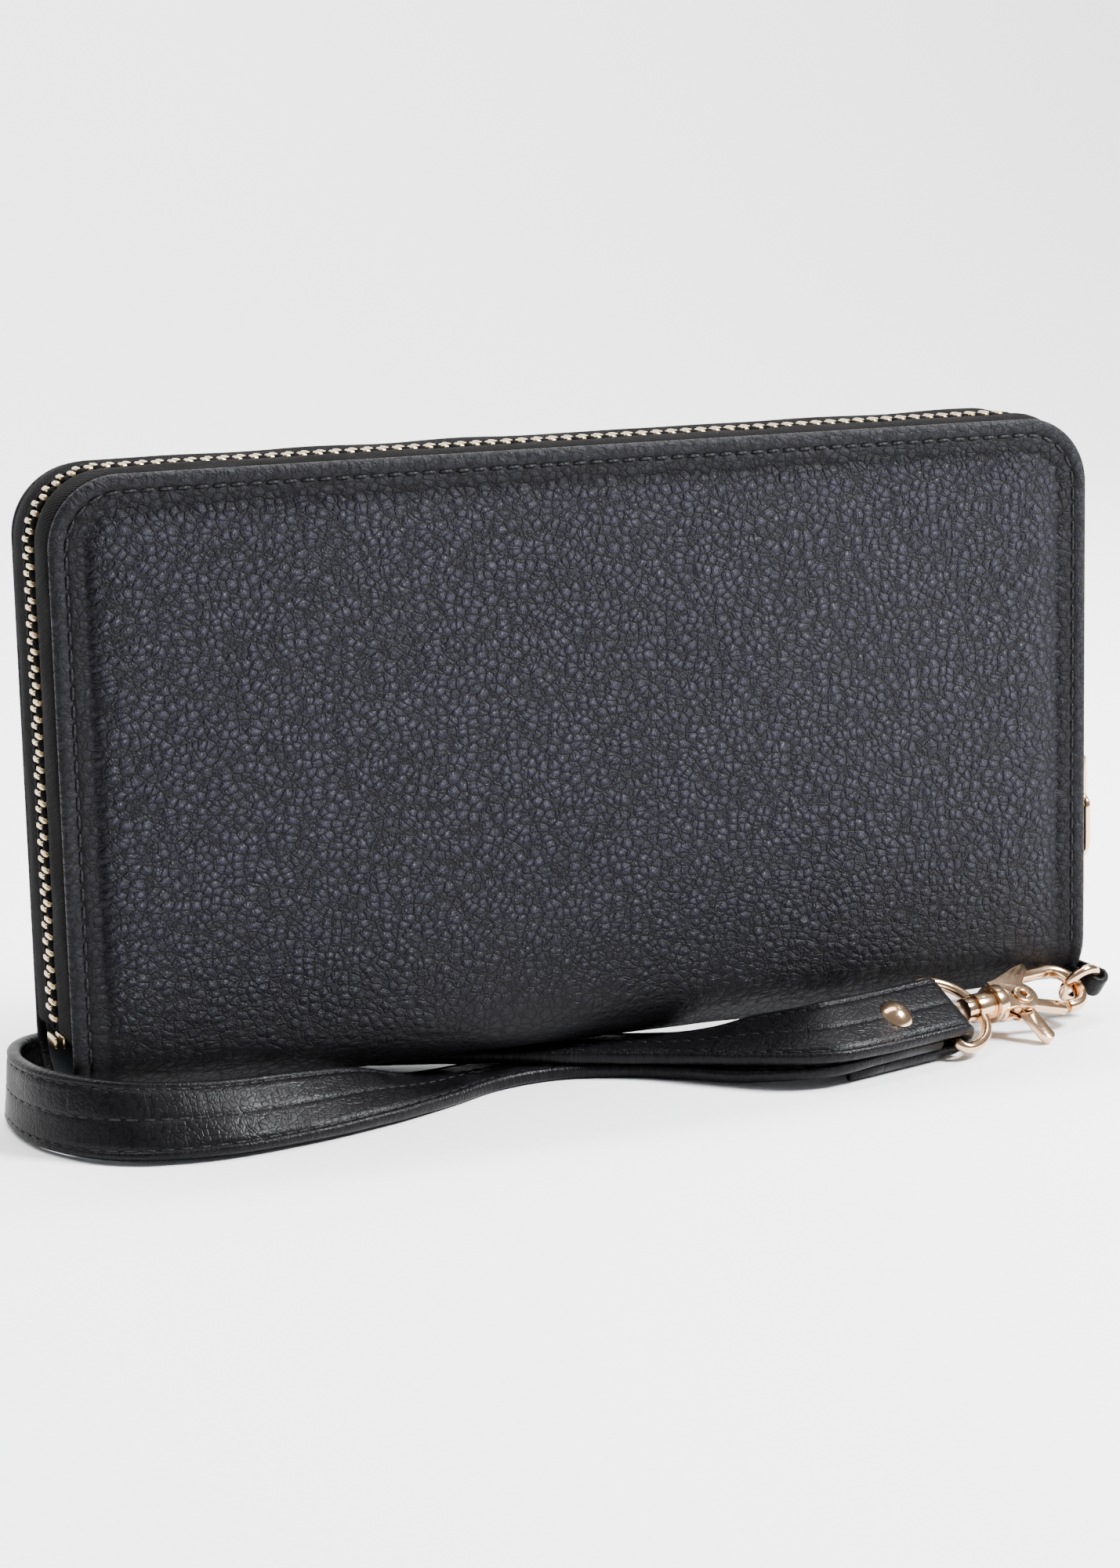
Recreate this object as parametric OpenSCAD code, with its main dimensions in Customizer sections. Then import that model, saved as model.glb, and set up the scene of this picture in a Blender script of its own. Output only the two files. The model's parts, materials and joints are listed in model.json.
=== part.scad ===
// Zip around wallet with a clip-on wrist strap, standing on its spine.
// X runs along the wallet, the front cover faces -Y, and Z is up from the table.

/* [Wallet] */
// Length of the covers
wallet_l = 190; // [186:1:196]
// Height from the spine's underside to the top edge
wallet_h = 105; // [102:1:110]
// Thickness between the covers' flat margins
wallet_t = 26; // [26:1:30]
// Radius of the two top corners
corner_r = 12; // [10:1:14]
// Radius of the leather round the spine
roll_r = 10; // [8:0.5:11]
// Height of the spine's underside above the table, on two layers of strap
lift = 5.4; // [5.4:0.1:7]

/* [Layers] */
// Thickness of the cover leather
leather_t = 1.4; // [1.2:0.1:1.6]
// How far the padded middle of a cover stands out of its margin
dome_h = 1.4; // [1:0.1:2]
// Width of the flat margin round the padded middle
margin_w = 7; // [6:0.5:9]
// Thickness of the stiffener boards
board_t = 0.8; // [0.6:0.1:0.9]
// Thickness of the lining
lining_t = 0.5; // [0.4:0.1:0.6]
// Thickness of one card slot leaf
slot_t = 0.45; // [0.3:0.05:0.5]

/* [Zip] */
// Spacing of the teeth in one row
tooth_pitch = 2.8; // [2.6:0.1:3.2]
// Thickness of the zip tape
tape_t = 0.6; // [0.5:0.1:0.8]
// Height of the slider's lower end above the spine's underside
slider_z = 32; // [30:1:40]

/* [Strap] */
// Width of the strap
strap_w = 13; // [11:0.5:14]
// Thickness of the strap
strap_t = 2.5; // [2.2:0.1:2.6]

/* [Hidden] */
$fn = 48;

// Colours
black_leather = [0.13, 0.13, 0.16];
black_cloth = [0.09, 0.09, 0.1];
lining_cloth = [0.2, 0.2, 0.23];
foam_grey = [0.45, 0.45, 0.45];
board_grey = [0.55, 0.53, 0.5];
pale_gold = [0.88, 0.74, 0.52];
rose_gold = [0.85, 0.68, 0.52];
steel = [0.7, 0.7, 0.72];

// Where the wallet's centre stands from the middle of the whole object's box
centre_x = 0.39;
centre_y = 6.38;

// Heights of the closed wallet, from the table
top_z = lift + wallet_h;
fold_z = lift + roll_r + 2.2;
inner_base = lift + 5;
gap = 0.05;

// Depths of the layers, from the wallet's middle plane out to the front
cover_y = wallet_t / 2;
board_y = cover_y - leather_t;
lining_y = board_y - board_t;
slots_y = lining_y - lining_t;
slot_step = slot_t + gap;

/* Shared shapes */

// Moves the wallet so that the object's box is centred on the origin.
module placed() {
    translate([centre_x, centre_y, 0])
        children();
}

// Extrudes an outline drawn in X and Z from depth y0 to depth y1.
module upright(y0, y1) {
    translate([0, y1, 0])
        rotate([90, 0, 0])
            linear_extrude(y1 - y0)
                children();
}

// Extrudes an outline drawn in Y and Z along the whole length l.
module along_x(l) {
    translate([-l / 2, 0, 0])
        rotate([90, 0, 90])
            linear_extrude(l)
                children();
}

// The outline of a cover from height z0, drawn in by inset.
module panel_2d(inset, z0) {
    l = wallet_l - 2 * inset;
    z1 = top_z - inset;
    r = max(corner_r - inset, 2);
    translate([-l / 2, z0])
        square([l, z1 - z0 - r]);
    translate([-l / 2 + r, z0])
        square([l - 2 * r, z1 - z0]);
    for (s = [-1, 1])
        translate([s * (l / 2 - r), z1 - r])
            circle(r = r);
}

// A strip that follows the cover's outline, between two insets.
module rim_2d(inset, w, z0) {
    difference() {
        panel_2d(inset, z0);
        panel_2d(inset + w, z0 - 1);
    }
}

// The round-bottomed section of the spine, drawn in by inset.
module trough_2d(inset, z1) {
    t = wallet_t - 2 * inset;
    r = roll_r - inset;
    z0 = lift + inset;
    intersection() {
        union() {
            translate([-t / 2, z0 + r])
                square([t, z1 - z0 - r]);
            translate([-t / 2 + r, z0])
                square([t - 2 * r, z1 - z0]);
            for (s = [-1, 1])
                translate([s * (t / 2 - r), z0 + r])
                    circle(r = r);
        }
        translate([-t / 2, z0])
            square([t, z1 - z0]);
    }
}

// Puts a layer that is drawn on the front half on the back half too.
module on_side(side) {
    if (side == "front")
        children();
    else
        mirror([0, 1, 0])
            children();
}

/* Covers */

pad_inset = margin_w + 1.4;
pad_base = fold_z + 3.4;

module cover(side) {
    on_side(side)
        difference() {
            union() {
                upright(-cover_y, -board_y)
                    panel_2d(0, fold_z + 0.2);
                upright(-cover_y - dome_h, -cover_y)
                    panel_2d(margin_w, fold_z + 2);
            }
            upright(-cover_y - dome_h + leather_t - 0.2, -board_y + 1)
                panel_2d(pad_inset, pad_base);
        }
}

module padding(side) {
    on_side(side)
        upright(-cover_y - dome_h + leather_t - 0.2 + gap, -board_y - gap)
            panel_2d(pad_inset + gap, pad_base + gap);
}

module board(side) {
    on_side(side)
        upright(-board_y, -lining_y)
            panel_2d(1.5, fold_z + 0.4);
}

module lining(side) {
    on_side(side)
        upright(-lining_y, -slots_y)
            panel_2d(1.5, fold_z + 0.4);
}

// Slot 1 lies on the lining and is the tallest; each next one is lower.
slot_w = 84;
slot_gap = 3;
slot_base = fold_z + 4;
slot_top = top_z - 20;
slot_drop = 10;

module card_slot(side, number) {
    y0 = -slots_y + (number - 1) * slot_step + gap;
    z1 = slot_top - (number - 1) * slot_drop;
    on_side(side)
        upright(y0, y0 + slot_t)
            for (s = [-1, 1])
                translate([s * (slot_w + slot_gap) / 2 - slot_w / 2, slot_base])
                    square([slot_w, z1 - slot_base]);
}

module front_cover() color(black_leather) placed() cover("front");
module back_cover() color(black_leather) placed() cover("back");
module front_padding() color(foam_grey) placed() padding("front");
module back_padding() color(foam_grey) placed() padding("back");
module front_board() color(board_grey) placed() board("front");
module back_board() color(board_grey) placed() board("back");
module front_lining() color(lining_cloth) placed() lining("front");
module back_lining() color(lining_cloth) placed() lining("back");
module front_card_slot(n) color(black_leather) placed() card_slot("front", n);
module back_card_slot(n) color(black_leather) placed() card_slot("back", n);

/* Spine */

module spine_leather() color(black_leather) placed()
    along_x(wallet_l)
        difference() {
            trough_2d(0, fold_z);
            trough_2d(leather_t, fold_z + 1);
        }

module spine_lining() color(lining_cloth) placed()
    along_x(wallet_l - 3)
        difference() {
            trough_2d(leather_t + gap, fold_z - 0.2);
            trough_2d(leather_t + gap + lining_t, fold_z + 1);
        }

/* Inside */

leaf_x = 84;
divider_t = 0.7;
divider_y = 3.3;
divider_top = top_z - 10;

module divider(side) {
    on_side(side)
        upright(-divider_y - divider_t, -divider_y)
            translate([-leaf_x, inner_base])
                square([2 * leaf_x, divider_top - inner_base]);
}

pocket_x = 82;
pocket_y = 2.2;
pocket_t = 0.5;
pocket_top = top_z - 21;

module pocket_leaf(side) {
    on_side(side)
        upright(-pocket_y - pocket_t, -pocket_y)
            translate([-pocket_x, inner_base])
                square([2 * pocket_x, pocket_top - inner_base]);
}

module divider_front() color(lining_cloth) placed() divider("front");
module divider_rear() color(lining_cloth) placed() divider("back");
module coin_pocket_front() color(lining_cloth) placed() pocket_leaf("front");

// The rear leaf carries the pocket's bottom, turned up from one piece of cloth.
module coin_pocket_rear() color(lining_cloth) placed() {
    pocket_leaf("back");
    translate([-pocket_x, -pocket_y - pocket_t, inner_base - pocket_t])
        cube([2 * pocket_x, 2 * (pocket_y + pocket_t), pocket_t]);
}

// A gusset is a sheet folded like a bellows between the two linings.
gusset_t = 0.4;
gusset_in = 85.3;
gusset_out = 91;
gusset_folds = 6;
gusset_top = lift + 66;
gusset_reach = slots_y - 2 * gap;

function gusset_fold(i) = [
    i % 2 == 0 ? gusset_out : gusset_in,
    -gusset_reach + 2 * gusset_reach * i / gusset_folds
];

module gusset() {
    inner = [for (i = [0 : gusset_folds]) gusset_fold(i) - [gusset_t / 2, 0]];
    outer = [for (i = [gusset_folds : -1 : 0]) gusset_fold(i) + [gusset_t / 2, 0]];
    translate([0, 0, fold_z + 1])
        linear_extrude(gusset_top - fold_z - 1)
            polygon(concat(inner, outer));
}

module gusset_right() color(lining_cloth) placed() gusset();
module gusset_left() color(lining_cloth) placed() mirror([1, 0, 0]) gusset();

/* Coin pocket zip */

coin_zip_y = 1.1;
coin_tooth_l = 0.9;
coin_tooth_pitch = 2.2;
coin_slider_x = 66;
coin_slider_l = 8;

module coin_zip_tape() color(black_cloth) placed()
    for (s = [-1, 1])
        translate([-pocket_x, s > 0 ? coin_zip_y : -pocket_y - pocket_t, pocket_top])
            cube([2 * pocket_x, pocket_y + pocket_t - coin_zip_y, tape_t]);

module coin_zip_teeth() color(pale_gold) placed()
    for (i = [0 : floor((coin_slider_x + pocket_x - 12) / coin_tooth_pitch)], row = [0, 1])
        translate([
            -pocket_x + 8 + (i + row / 2) * coin_tooth_pitch,
            row == 0 ? -coin_zip_y : -0.35,
            pocket_top - 0.4
        ])
            cube([coin_tooth_l, coin_zip_y + 0.35, tape_t + 0.8]);

coin_plate_t = 0.8;
coin_slot = 0.7;

module coin_zip_slider() color(pale_gold) placed()
    translate([coin_slider_x, 0, pocket_top + tape_t / 2]) {
        translate([0, -3, coin_slot + 0.3])
            cube([coin_slider_l, 6, coin_plate_t]);
        translate([0, -pocket_y + 0.2, -coin_slot - 0.3 - coin_plate_t])
            cube([coin_slider_l, 2 * pocket_y - 0.4, coin_plate_t]);
        translate([5.6, -0.8, -coin_slot - 0.3])
            cube([1.6, 1.6, 2 * coin_slot + 0.6]);
        translate([2.4, 0, coin_slot + 0.3 + coin_plate_t])
            for (s = [-1, 1])
                translate([0, s > 0 ? 1.2 : -2.2, 0])
                    difference() {
                        cube([3.2, 1, 2.4]);
                        translate([1.6, -1, 1.2])
                            rotate([-90, 0, 0])
                                cylinder(h = 3, r = 0.5);
                    }
    }

// The pull lies back along the pocket; its pin turns in the slider's two ears.
module coin_zip_pull() color(pale_gold) placed()
    translate([coin_slider_x + 4, 0, pocket_top + tape_t / 2 + coin_slot + 0.3 + coin_plate_t + 1.2]) {
        translate([0, -2.1, 0])
            rotate([-90, 0, 0])
                cylinder(h = 4.2, r = 0.45);
        translate([-15, -1, -0.4])
            cube([15, 2, 0.8]);
        translate([-15, 0, -0.4])
            cylinder(h = 0.8, r = 2.3);
    }

/* Main zip */

tape_inset = 0.2;
teeth_y = 2.6;
teeth_mesh = 0.55;
tooth_l = 1.15;
tooth_h = 2.2;
zip_inset = tape_inset + tape_t / 2;
zip_x = wallet_l / 2 - zip_inset;
zip_r = corner_r - zip_inset;
zip_start = lift + 13;
slider_l = 10;
slider_base = lift + slider_z;
zip_end = slider_base + 4.6;

// Lengths of the chain's five stretches: left side, corner, top, corner, right side
left_len = top_z - corner_r - zip_start;
arc_len = PI / 2 * zip_r;
top_len = wallet_l - 2 * corner_r;
right_len = top_z - corner_r - zip_end;
chain_len = left_len + arc_len + top_len + arc_len + right_len;

// Place on the chain at distance s: [x, z, turn of the outward direction from +X]
function chain_at(s) =
    s < left_len ? [-zip_x, zip_start + s, 180]
    : s < left_len + arc_len ? corner_at(-1, 180 - (s - left_len) / arc_len * 90)
    : s < left_len + arc_len + top_len
        ? [-wallet_l / 2 + corner_r + s - left_len - arc_len, top_z - zip_inset, 90]
    : s < left_len + 2 * arc_len + top_len
        ? corner_at(1, 90 - (s - left_len - arc_len - top_len) / arc_len * 90)
    : [zip_x, top_z - corner_r - (s - left_len - 2 * arc_len - top_len), 0];

function corner_at(side, a) = [
    side * (wallet_l / 2 - corner_r) + zip_r * cos(a),
    top_z - corner_r + zip_r * sin(a),
    a
];

module tooth_row(row) {
    for (i = [0 : floor((chain_len - tooth_pitch) / tooth_pitch)]) {
        place = chain_at((i + row / 2) * tooth_pitch + tooth_l);
        translate([place[0], row == 0 ? -teeth_y : -teeth_mesh, place[1]])
            rotate([0, -place[2], 0])
                translate([-tooth_h / 2, 0, -tooth_l / 2])
                    cube([tooth_h, teeth_y + teeth_mesh, tooth_l]);
    }
}

module zip_teeth_front() color(pale_gold) placed() tooth_row(0);
module zip_teeth_rear() color(pale_gold) placed() tooth_row(1);

module zip_tape_front() color(black_cloth) placed()
    upright(-board_y, -teeth_y)
        rim_2d(tape_inset, tape_t, fold_z + 0.4);

module zip_tape_rear() color(black_cloth) placed()
    upright(teeth_y, board_y)
        rim_2d(tape_inset, tape_t, fold_z - 0.2);

// The ends of both tapes cross the spine's two ends below the fold.
tape_end_z = lift + 8;

module zip_tape_ends() color(black_cloth) placed()
    for (s = [-1, 1])
        translate([s * zip_x - tape_t / 2, -board_y + 1.2, tape_end_z])
            cube([tape_t, 2 * board_y - 2.4, fold_z - 0.3 - tape_end_z]);

stop_h = 2;
stop_z = slider_base - stop_h - 3.4;

module zip_stop_front() color(pale_gold) placed()
    translate([zip_x - tooth_h / 2, -teeth_y, stop_z])
        cube([tooth_h, teeth_y - 0.4, stop_h]);

// The chain's start is closed by one wide stop, and its end has a stop on each tape.
module zip_stops_rear() color(pale_gold) placed() {
    translate([zip_x - tooth_h / 2, 0.4, stop_z])
        cube([tooth_h, teeth_y - 0.4, stop_h]);
    for (s = [-1, 1])
        translate([-zip_x + s * (tape_t / 2 + 0.4) - 0.4, -teeth_y, tape_end_z + 1])
            cube([0.8, 2 * teeth_y, stop_h]);
}

// The slider's two plates lie outside and inside the chain, joined by a wedge below.
plate_t = 1.1;
plate_gap = tooth_h / 2 + 0.5;
slider_w = 9.2;
flange_w = 1;
tape_slot = 0.7;
crown_x = zip_x + plate_gap + plate_t;
crown_out = 5;
crown_w = 2.6;
crown_r = 1.5;
crown_drop = 0.8;
ring_wire = 0.75;
ring_z = slider_base + 1.4;
ring_x = crown_x + 3.3;

module zip_slider() color(pale_gold) placed() {
    for (s = [-1, 1]) {
        translate([zip_x + s * (plate_gap + plate_t / 2) - plate_t / 2, -slider_w / 2, slider_base])
            cube([plate_t, slider_w, slider_l]);
        for (f = [-1, 1])
            translate([
                zip_x + s * (plate_gap + tape_slot) / 2 - (plate_gap - tape_slot) / 2,
                f * (slider_w - flange_w) / 2 - flange_w / 2,
                slider_base
            ])
                cube([plate_gap - tape_slot, flange_w, slider_l]);
    }
    translate([zip_x - plate_gap, -0.9, slider_base + 0.6])
        cube([2 * plate_gap, 1.8, 2.4]);
    translate([crown_x, crown_w / 2, slider_base])
        rotate([90, 0, 0])
            linear_extrude(crown_w)
                difference() {
                    crown_2d();
                    translate([ring_x - crown_x, ring_z - slider_base])
                        circle(r = ring_wire + 0.25);
                }
}

// Side view of the crown that holds the pull ring.
module crown_2d() {
    translate([0, -crown_drop])
        square([crown_out - crown_r, slider_l - 0.6 + crown_drop]);
    translate([crown_out - 2 * crown_r, -crown_drop])
        square([2 * crown_r, slider_l - 0.6 - crown_r + crown_drop]);
    translate([crown_out - crown_r, slider_l - 0.6 - crown_r])
        circle(r = crown_r);
}

pull_ring_w = 8;
pull_ring_h = 10;

// A racetrack ring of round wire that hangs from its upper bar; the bar is at the origin.
module wire_loop(w, h, r) {
    arm = w / 2 - 1.6;
    for (z = [0, -h])
        translate([0, -arm, z])
            rotate([-90, 0, 0])
                cylinder(h = 2 * arm, r = r);
    for (s = [-1, 1])
        translate([0, s * w / 2, -h + 1.6])
            cylinder(h = h - 3.2, r = r);
    for (s = [-1, 1], low = [0, 1])
        translate([0, s * arm, low == 0 ? -1.6 : -h + 1.6])
            rotate([90, 0, 90])
                rotate_extrude(angle = 90, start = low == 0 ? (s > 0 ? 0 : 90) : (s > 0 ? 270 : 180))
                    translate([1.6, 0])
                        circle(r = r);
}

module pull_ring() color(pale_gold) placed()
    translate([ring_x, 0, ring_z])
        wire_loop(pull_ring_w, pull_ring_h, ring_wire);

tab_z = ring_z - pull_ring_h;
tab_w = 4.6;
tab_l = 8;
tab_eye_r = ring_wire + 0.8;

// The tab's eye turns on the ring's lower bar.
module pull_tab() color(pale_gold) placed()
    translate([ring_x, tab_w / 2, tab_z])
        rotate([90, 0, 0])
            linear_extrude(tab_w)
                difference() {
                    union() {
                        circle(r = tab_eye_r);
                        translate([-0.8, -tab_l])
                            square([1.6, tab_l]);
                        translate([0, -tab_l])
                            circle(r = 0.8);
                    }
                    circle(r = ring_wire + 0.06);
                }

/* Strap end: the strap is folded round the bar of its ring and riveted */

// Place of the rivet on the strap's face, from the wallet's centre
end_pos = [47, -30.5, 10.1];
// Direction of the strap's end in plan, and the tilt of its face towards the front
end_turn = 16;
end_tilt = 35;
layer = strap_t + 0.1;
mid_w = -strap_t / 2 - layer;
bar_u = 12;
tail_u = -12;

axis_u = [cos(end_turn), sin(end_turn), 0];
axis_v = [-sin(end_turn) * cos(end_tilt), cos(end_turn) * cos(end_tilt), sin(end_tilt)];
axis_w = cross(axis_u, axis_v);

function end_point(u, w) = end_pos + u * axis_u + w * axis_w;

// Local frame of the strap's end: u towards the clasp, v across the strap, w out of its face
module at_end(u = 0, v = 0, w = 0) {
    translate(end_pos)
        rotate([0, 0, end_turn])
            rotate([end_tilt, 0, 0])
                translate([u, v, w])
                    children();
}

// Hand-chosen route of the strap's middle line, each [x, y, z, tilt of the face].
// It leaves the fold, passes under the spine, rounds the left end and comes back on top.
strap_route = [
    [31, -31.7, 6.3, 33], [22, -25, 4.2, 24], [13, -14.5, 1.8, 4], [4, -8, 1.3, 0],
    [-8, -4, 1.3, 0], [-22, -6, 1.3, 0], [-34, -12.5, 2.3, 9], [-46, -19, 4.5, 30],
    [-60, -24, 5.6, 44], [-76, -26.5, 6.2, 54], [-90, -23, 6.7, 68], [-99, -12, 6.9, 82],
    [-101.5, 2, 6.9, 88], [-97.5, 14, 6.8, 78], [-86, 20.5, 6.3, 62], [-70, 21, 5.8, 48],
    [-54, 17, 4.9, 32], [-40, 12, 3.3, 10], [-27, 6.5, 4, 0], [-15, 1, 4, 0],
    [-5, -4, 4, 0], [4, -8.7, 4, 0], [13, -14.8, 4.5, -4], [22, -24.8, 7.2, -23],
    [31, -32.7, 9, -33]
];

// Smooth curve through the route, four steps to a stretch
route_steps = 4;

function smooth(a, b, c, d, t) =
    (2 * b + (c - a) * t + (2 * a - 5 * b + 4 * c - d) * t * t
        + (3 * b - a - 3 * c + d) * t * t * t) / 2;

function with_tilt(p, tilt) = [p[0], p[1], p[2], tilt];

route_ends = concat(
    [with_tilt(end_point(8, mid_w), end_tilt), with_tilt(end_point(-5, mid_w), end_tilt)],
    strap_route,
    [with_tilt(end_point(-5, -strap_t / 2), -end_tilt), with_tilt(end_point(8, -strap_t / 2), -end_tilt)]
);

route = concat(
    [route_ends[0]],
    [for (i = [1 : len(route_ends) - 3], k = [0 : route_steps - 1])
        smooth(route_ends[i - 1], route_ends[i], route_ends[i + 1], route_ends[i + 2], k / route_steps)],
    [route_ends[len(route_ends) - 2], route_ends[len(route_ends) - 1]]
);

function head3(p) = [p[0], p[1], p[2]];
function unit(v) = v / norm(v);

// Width direction: to the right of the heading, turned up by the tilt, square to the heading
function width_dir(heading, tilt) =
    let (right = unit([heading[1], -heading[0], 0]))
    let (raw = right * cos(tilt) + [0, 0, sin(tilt)])
    unit(raw - heading * (raw * heading));

// One ring of the strap's section, no lower than the table
function section(p, heading, width) =
    let (
        normal = cross(heading, width),
        rest_z = abs(width[2]) * strap_w / 2 + abs(normal[2]) * strap_t / 2,
        on_table = [p[0], p[1], max(p[2], rest_z)]
    )
    [for (c = [[-1, -1], [1, -1], [1, 1], [-1, 1]])
        on_table + c[0] * width * strap_w / 2 + c[1] * normal * strap_t / 2];

route_rings = [
    for (i = [0 : len(route) - 1])
        let (
            before = head3(route[max(i - 1, 0)]),
            after = head3(route[min(i + 1, len(route) - 1)]),
            heading = unit(after - before)
        )
        section(head3(route[i]), heading, width_dir(heading, route[i][3]))
];

// The fold round the ring's bar and the tail under the strap
fold_steps = 8;
fold_rings = [
    for (k = [0 : fold_steps])
        let (a = 90 - 180 * k / fold_steps)
        section(
            end_point(bar_u + layer * cos(a), mid_w + layer * sin(a)),
            sin(a) * axis_u - cos(a) * axis_w,
            -axis_v
        ),
    section(end_point(tail_u, mid_w - layer), -axis_u, -axis_v)
];

strap_rings = concat(route_rings, fold_rings);

module strap() color(black_leather) placed() {
    count = len(strap_rings);
    sides = [for (i = [0 : count - 2], j = [0 : 3], half = [0, 1])
        let (a = i * 4 + j, b = i * 4 + (j + 1) % 4)
        half == 0 ? [a, b, b + 4] : [a, b + 4, a + 4]];
    last = (count - 1) * 4;
    polyhedron(
        points = [for (ring = strap_rings) each ring],
        faces = concat([[3, 2, 1, 0]], sides, [[last, last + 1, last + 2, last + 3]])
    );
}

rivet_r = 3.1;

module strap_rivet_cap() color(rose_gold) placed()
    at_end()
        intersection() {
            translate([0, 0, -rivet_r * 0.8])
                sphere(r = rivet_r * 1.28);
            cylinder(h = rivet_r, r = rivet_r);
        }

module strap_rivet_post() color(rose_gold) placed()
    at_end(0, 0, mid_w - layer - strap_t / 2 - 0.4) {
        cylinder(h = 0.4, r = 2.6);
        cylinder(h = 3 * strap_t + 0.6, r = 1);
    }

/* Strap ring, clasp and side ring */

wire_r = 1;
bow_r = 8;
bend_r = 1.8;
bow_u = bar_u + bend_r;
lug_u = bow_u + bow_r - 1.2;
lug_l = 4;
lug_r = 2.6;
post_r = 1.3;
post_clear = 0.06;

// A D of round wire whose straight bar lies in the strap's fold; its lug holds the clasp's post.
module strap_ring() color(rose_gold) placed()
    at_end(0, 0, mid_w) {
        translate([bar_u, -bow_r + bend_r, 0])
            rotate([-90, 0, 0])
                cylinder(h = 2 * (bow_r - bend_r), r = wire_r);
        for (s = [-1, 1])
            translate([bow_u, s * (bow_r - bend_r), 0])
                rotate_extrude(angle = 90, start = s > 0 ? 90 : 180)
                    translate([bend_r, 0])
                        circle(r = wire_r);
        difference() {
            union() {
                translate([bow_u, 0, 0])
                    rotate_extrude(angle = 180, start = -90)
                        translate([bow_r, 0])
                            circle(r = wire_r);
                translate([lug_u, 0, 0])
                    rotate([0, 90, 0])
                        cylinder(h = lug_l, r = lug_r);
            }
            translate([lug_u - 1, 0, 0])
                rotate([0, 90, 0])
                    cylinder(h = lug_l + 2, r = post_r + post_clear);
        }
    }

head_u = lug_u - 2.4;
neck_u = lug_u + lug_l + 0.2;
cheek_u = neck_u + 1.8;
pivot_u = cheek_u + 5;
pivot_v = -0.8;
hook_r = 4.4;
hook_wire = 1.25;
hook_u = pivot_u + 11;
cheek_t = 0.8;
cheek_w = 1.1;
pin_r = 1.2;

module cheek_2d() {
    translate([cheek_u - 0.4, -3])
        square([4.2, 6.6]);
    translate([pivot_u, pivot_v])
        circle(r = 3.1);
    polygon([
        [cheek_u + 1, 3.6], [pivot_u + 3.4, 5.6], [pivot_u + 5.4, 5.8],
        [pivot_u + 5.4, 4.4], [pivot_u + 1.8, 1.6], [cheek_u + 1, 0]
    ]);
}

// The post and its button head, the neck, two cheeks round the gate, and the open hook
module clasp_body() color(rose_gold) placed()
    at_end(0, 0, mid_w) {
        translate([head_u, 0, 0])
            rotate([0, 90, 0])
                cylinder(h = 2.2, r = 2.2);
        translate([head_u + 1, 0, 0])
            rotate([0, 90, 0])
                cylinder(h = neck_u - head_u, r = post_r);
        translate([neck_u, 0, 0])
            rotate([0, 90, 0])
                cylinder(h = 2, r = 3.4);
        for (s = [-1, 1])
            translate([0, 0, s * (cheek_w + cheek_t / 2) - cheek_t / 2])
                linear_extrude(cheek_t)
                    difference() {
                        cheek_2d();
                        translate([pivot_u, pivot_v])
                            circle(r = pin_r);
                    }
        translate([pivot_u + 2.6, 4.6, -cheek_w - gap])
            cube([2.6, 1.2, 2 * cheek_w + 2 * gap]);
        translate([pivot_u + 3.4, hook_r, 0])
            rotate([0, 90, 0])
                cylinder(h = hook_u - pivot_u - 3.4, r = hook_wire);
        translate([hook_u, 0, 0])
            rotate_extrude(angle = 180, start = -90)
                translate([hook_r, 0])
                    circle(r = hook_wire);
        translate([hook_u - 1.4, -hook_r, 0])
            rotate([0, 90, 0])
                cylinder(h = 1.4, r = hook_wire);
    }

gate_t = 1.6;
gate_l = hook_u - pivot_u - 2.5;
lever_reach = 8.6;

// The gate's bar closes the hook's mouth, and its thumb lever stands out below the pivot.
module clasp_gate() color(rose_gold) placed()
    at_end(pivot_u, pivot_v, mid_w)
        translate([0, 0, -gate_t / 2])
            linear_extrude(gate_t)
                difference() {
                    union() {
                        circle(r = 2.5);
                        polygon([
                            [1.5, -2], [gate_l, -hook_r - pivot_v - 1.1],
                            [gate_l, -hook_r - pivot_v + 1], [2.2, -0.2]
                        ]);
                        translate([-1.3, -lever_reach])
                            square([2.6, lever_reach - 1]);
                        translate([0, -lever_reach])
                            circle(r = 1.3);
                    }
                    circle(r = pin_r + 0.06);
                }

module gate_pin() color(rose_gold) placed()
    at_end(pivot_u, pivot_v, mid_w)
        difference() {
            union() {
                translate([0, 0, -cheek_w - cheek_t])
                    cylinder(h = 2 * (cheek_w + cheek_t), r = pin_r);
                for (s = [-1, 1])
                    translate([0, 0, s * (cheek_w + cheek_t + 0.2) - 0.2])
                        cylinder(h = 0.4, r = 2);
            }
            translate([0, 0, -5])
                cylinder(h = 10, r = 0.7);
        }

// The return spring's turns lie round the pin beside the gate.
module gate_spring() color(steel) placed()
    at_end(pivot_u, pivot_v, mid_w + cheek_w - 0.15)
        rotate_extrude()
            translate([pin_r + 0.3, 0])
                circle(r = 0.13);

side_ring_r = 3.6;
side_wire = 0.9;
ring_play = 0.4;
side_ring_u = hook_u + hook_r - hook_wire - side_wire - ring_play + side_ring_r;
side_bar_u = side_ring_u + side_ring_r;

// The side ring stands across the hook; its far side turns in the leather tab.
module side_ring() color(rose_gold) placed()
    at_end(side_ring_u, 0, mid_w)
        rotate([90, 0, 0])
            rotate_extrude()
                translate([side_ring_r, 0])
                    circle(r = side_wire);

tab_leather = 1.2;
tab_loop_r = side_wire + 0.3 + tab_leather;
side_tab_w = 4.4;
tab_root = [wallet_l / 2 - 5, -2, lift + 4.6];

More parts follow.
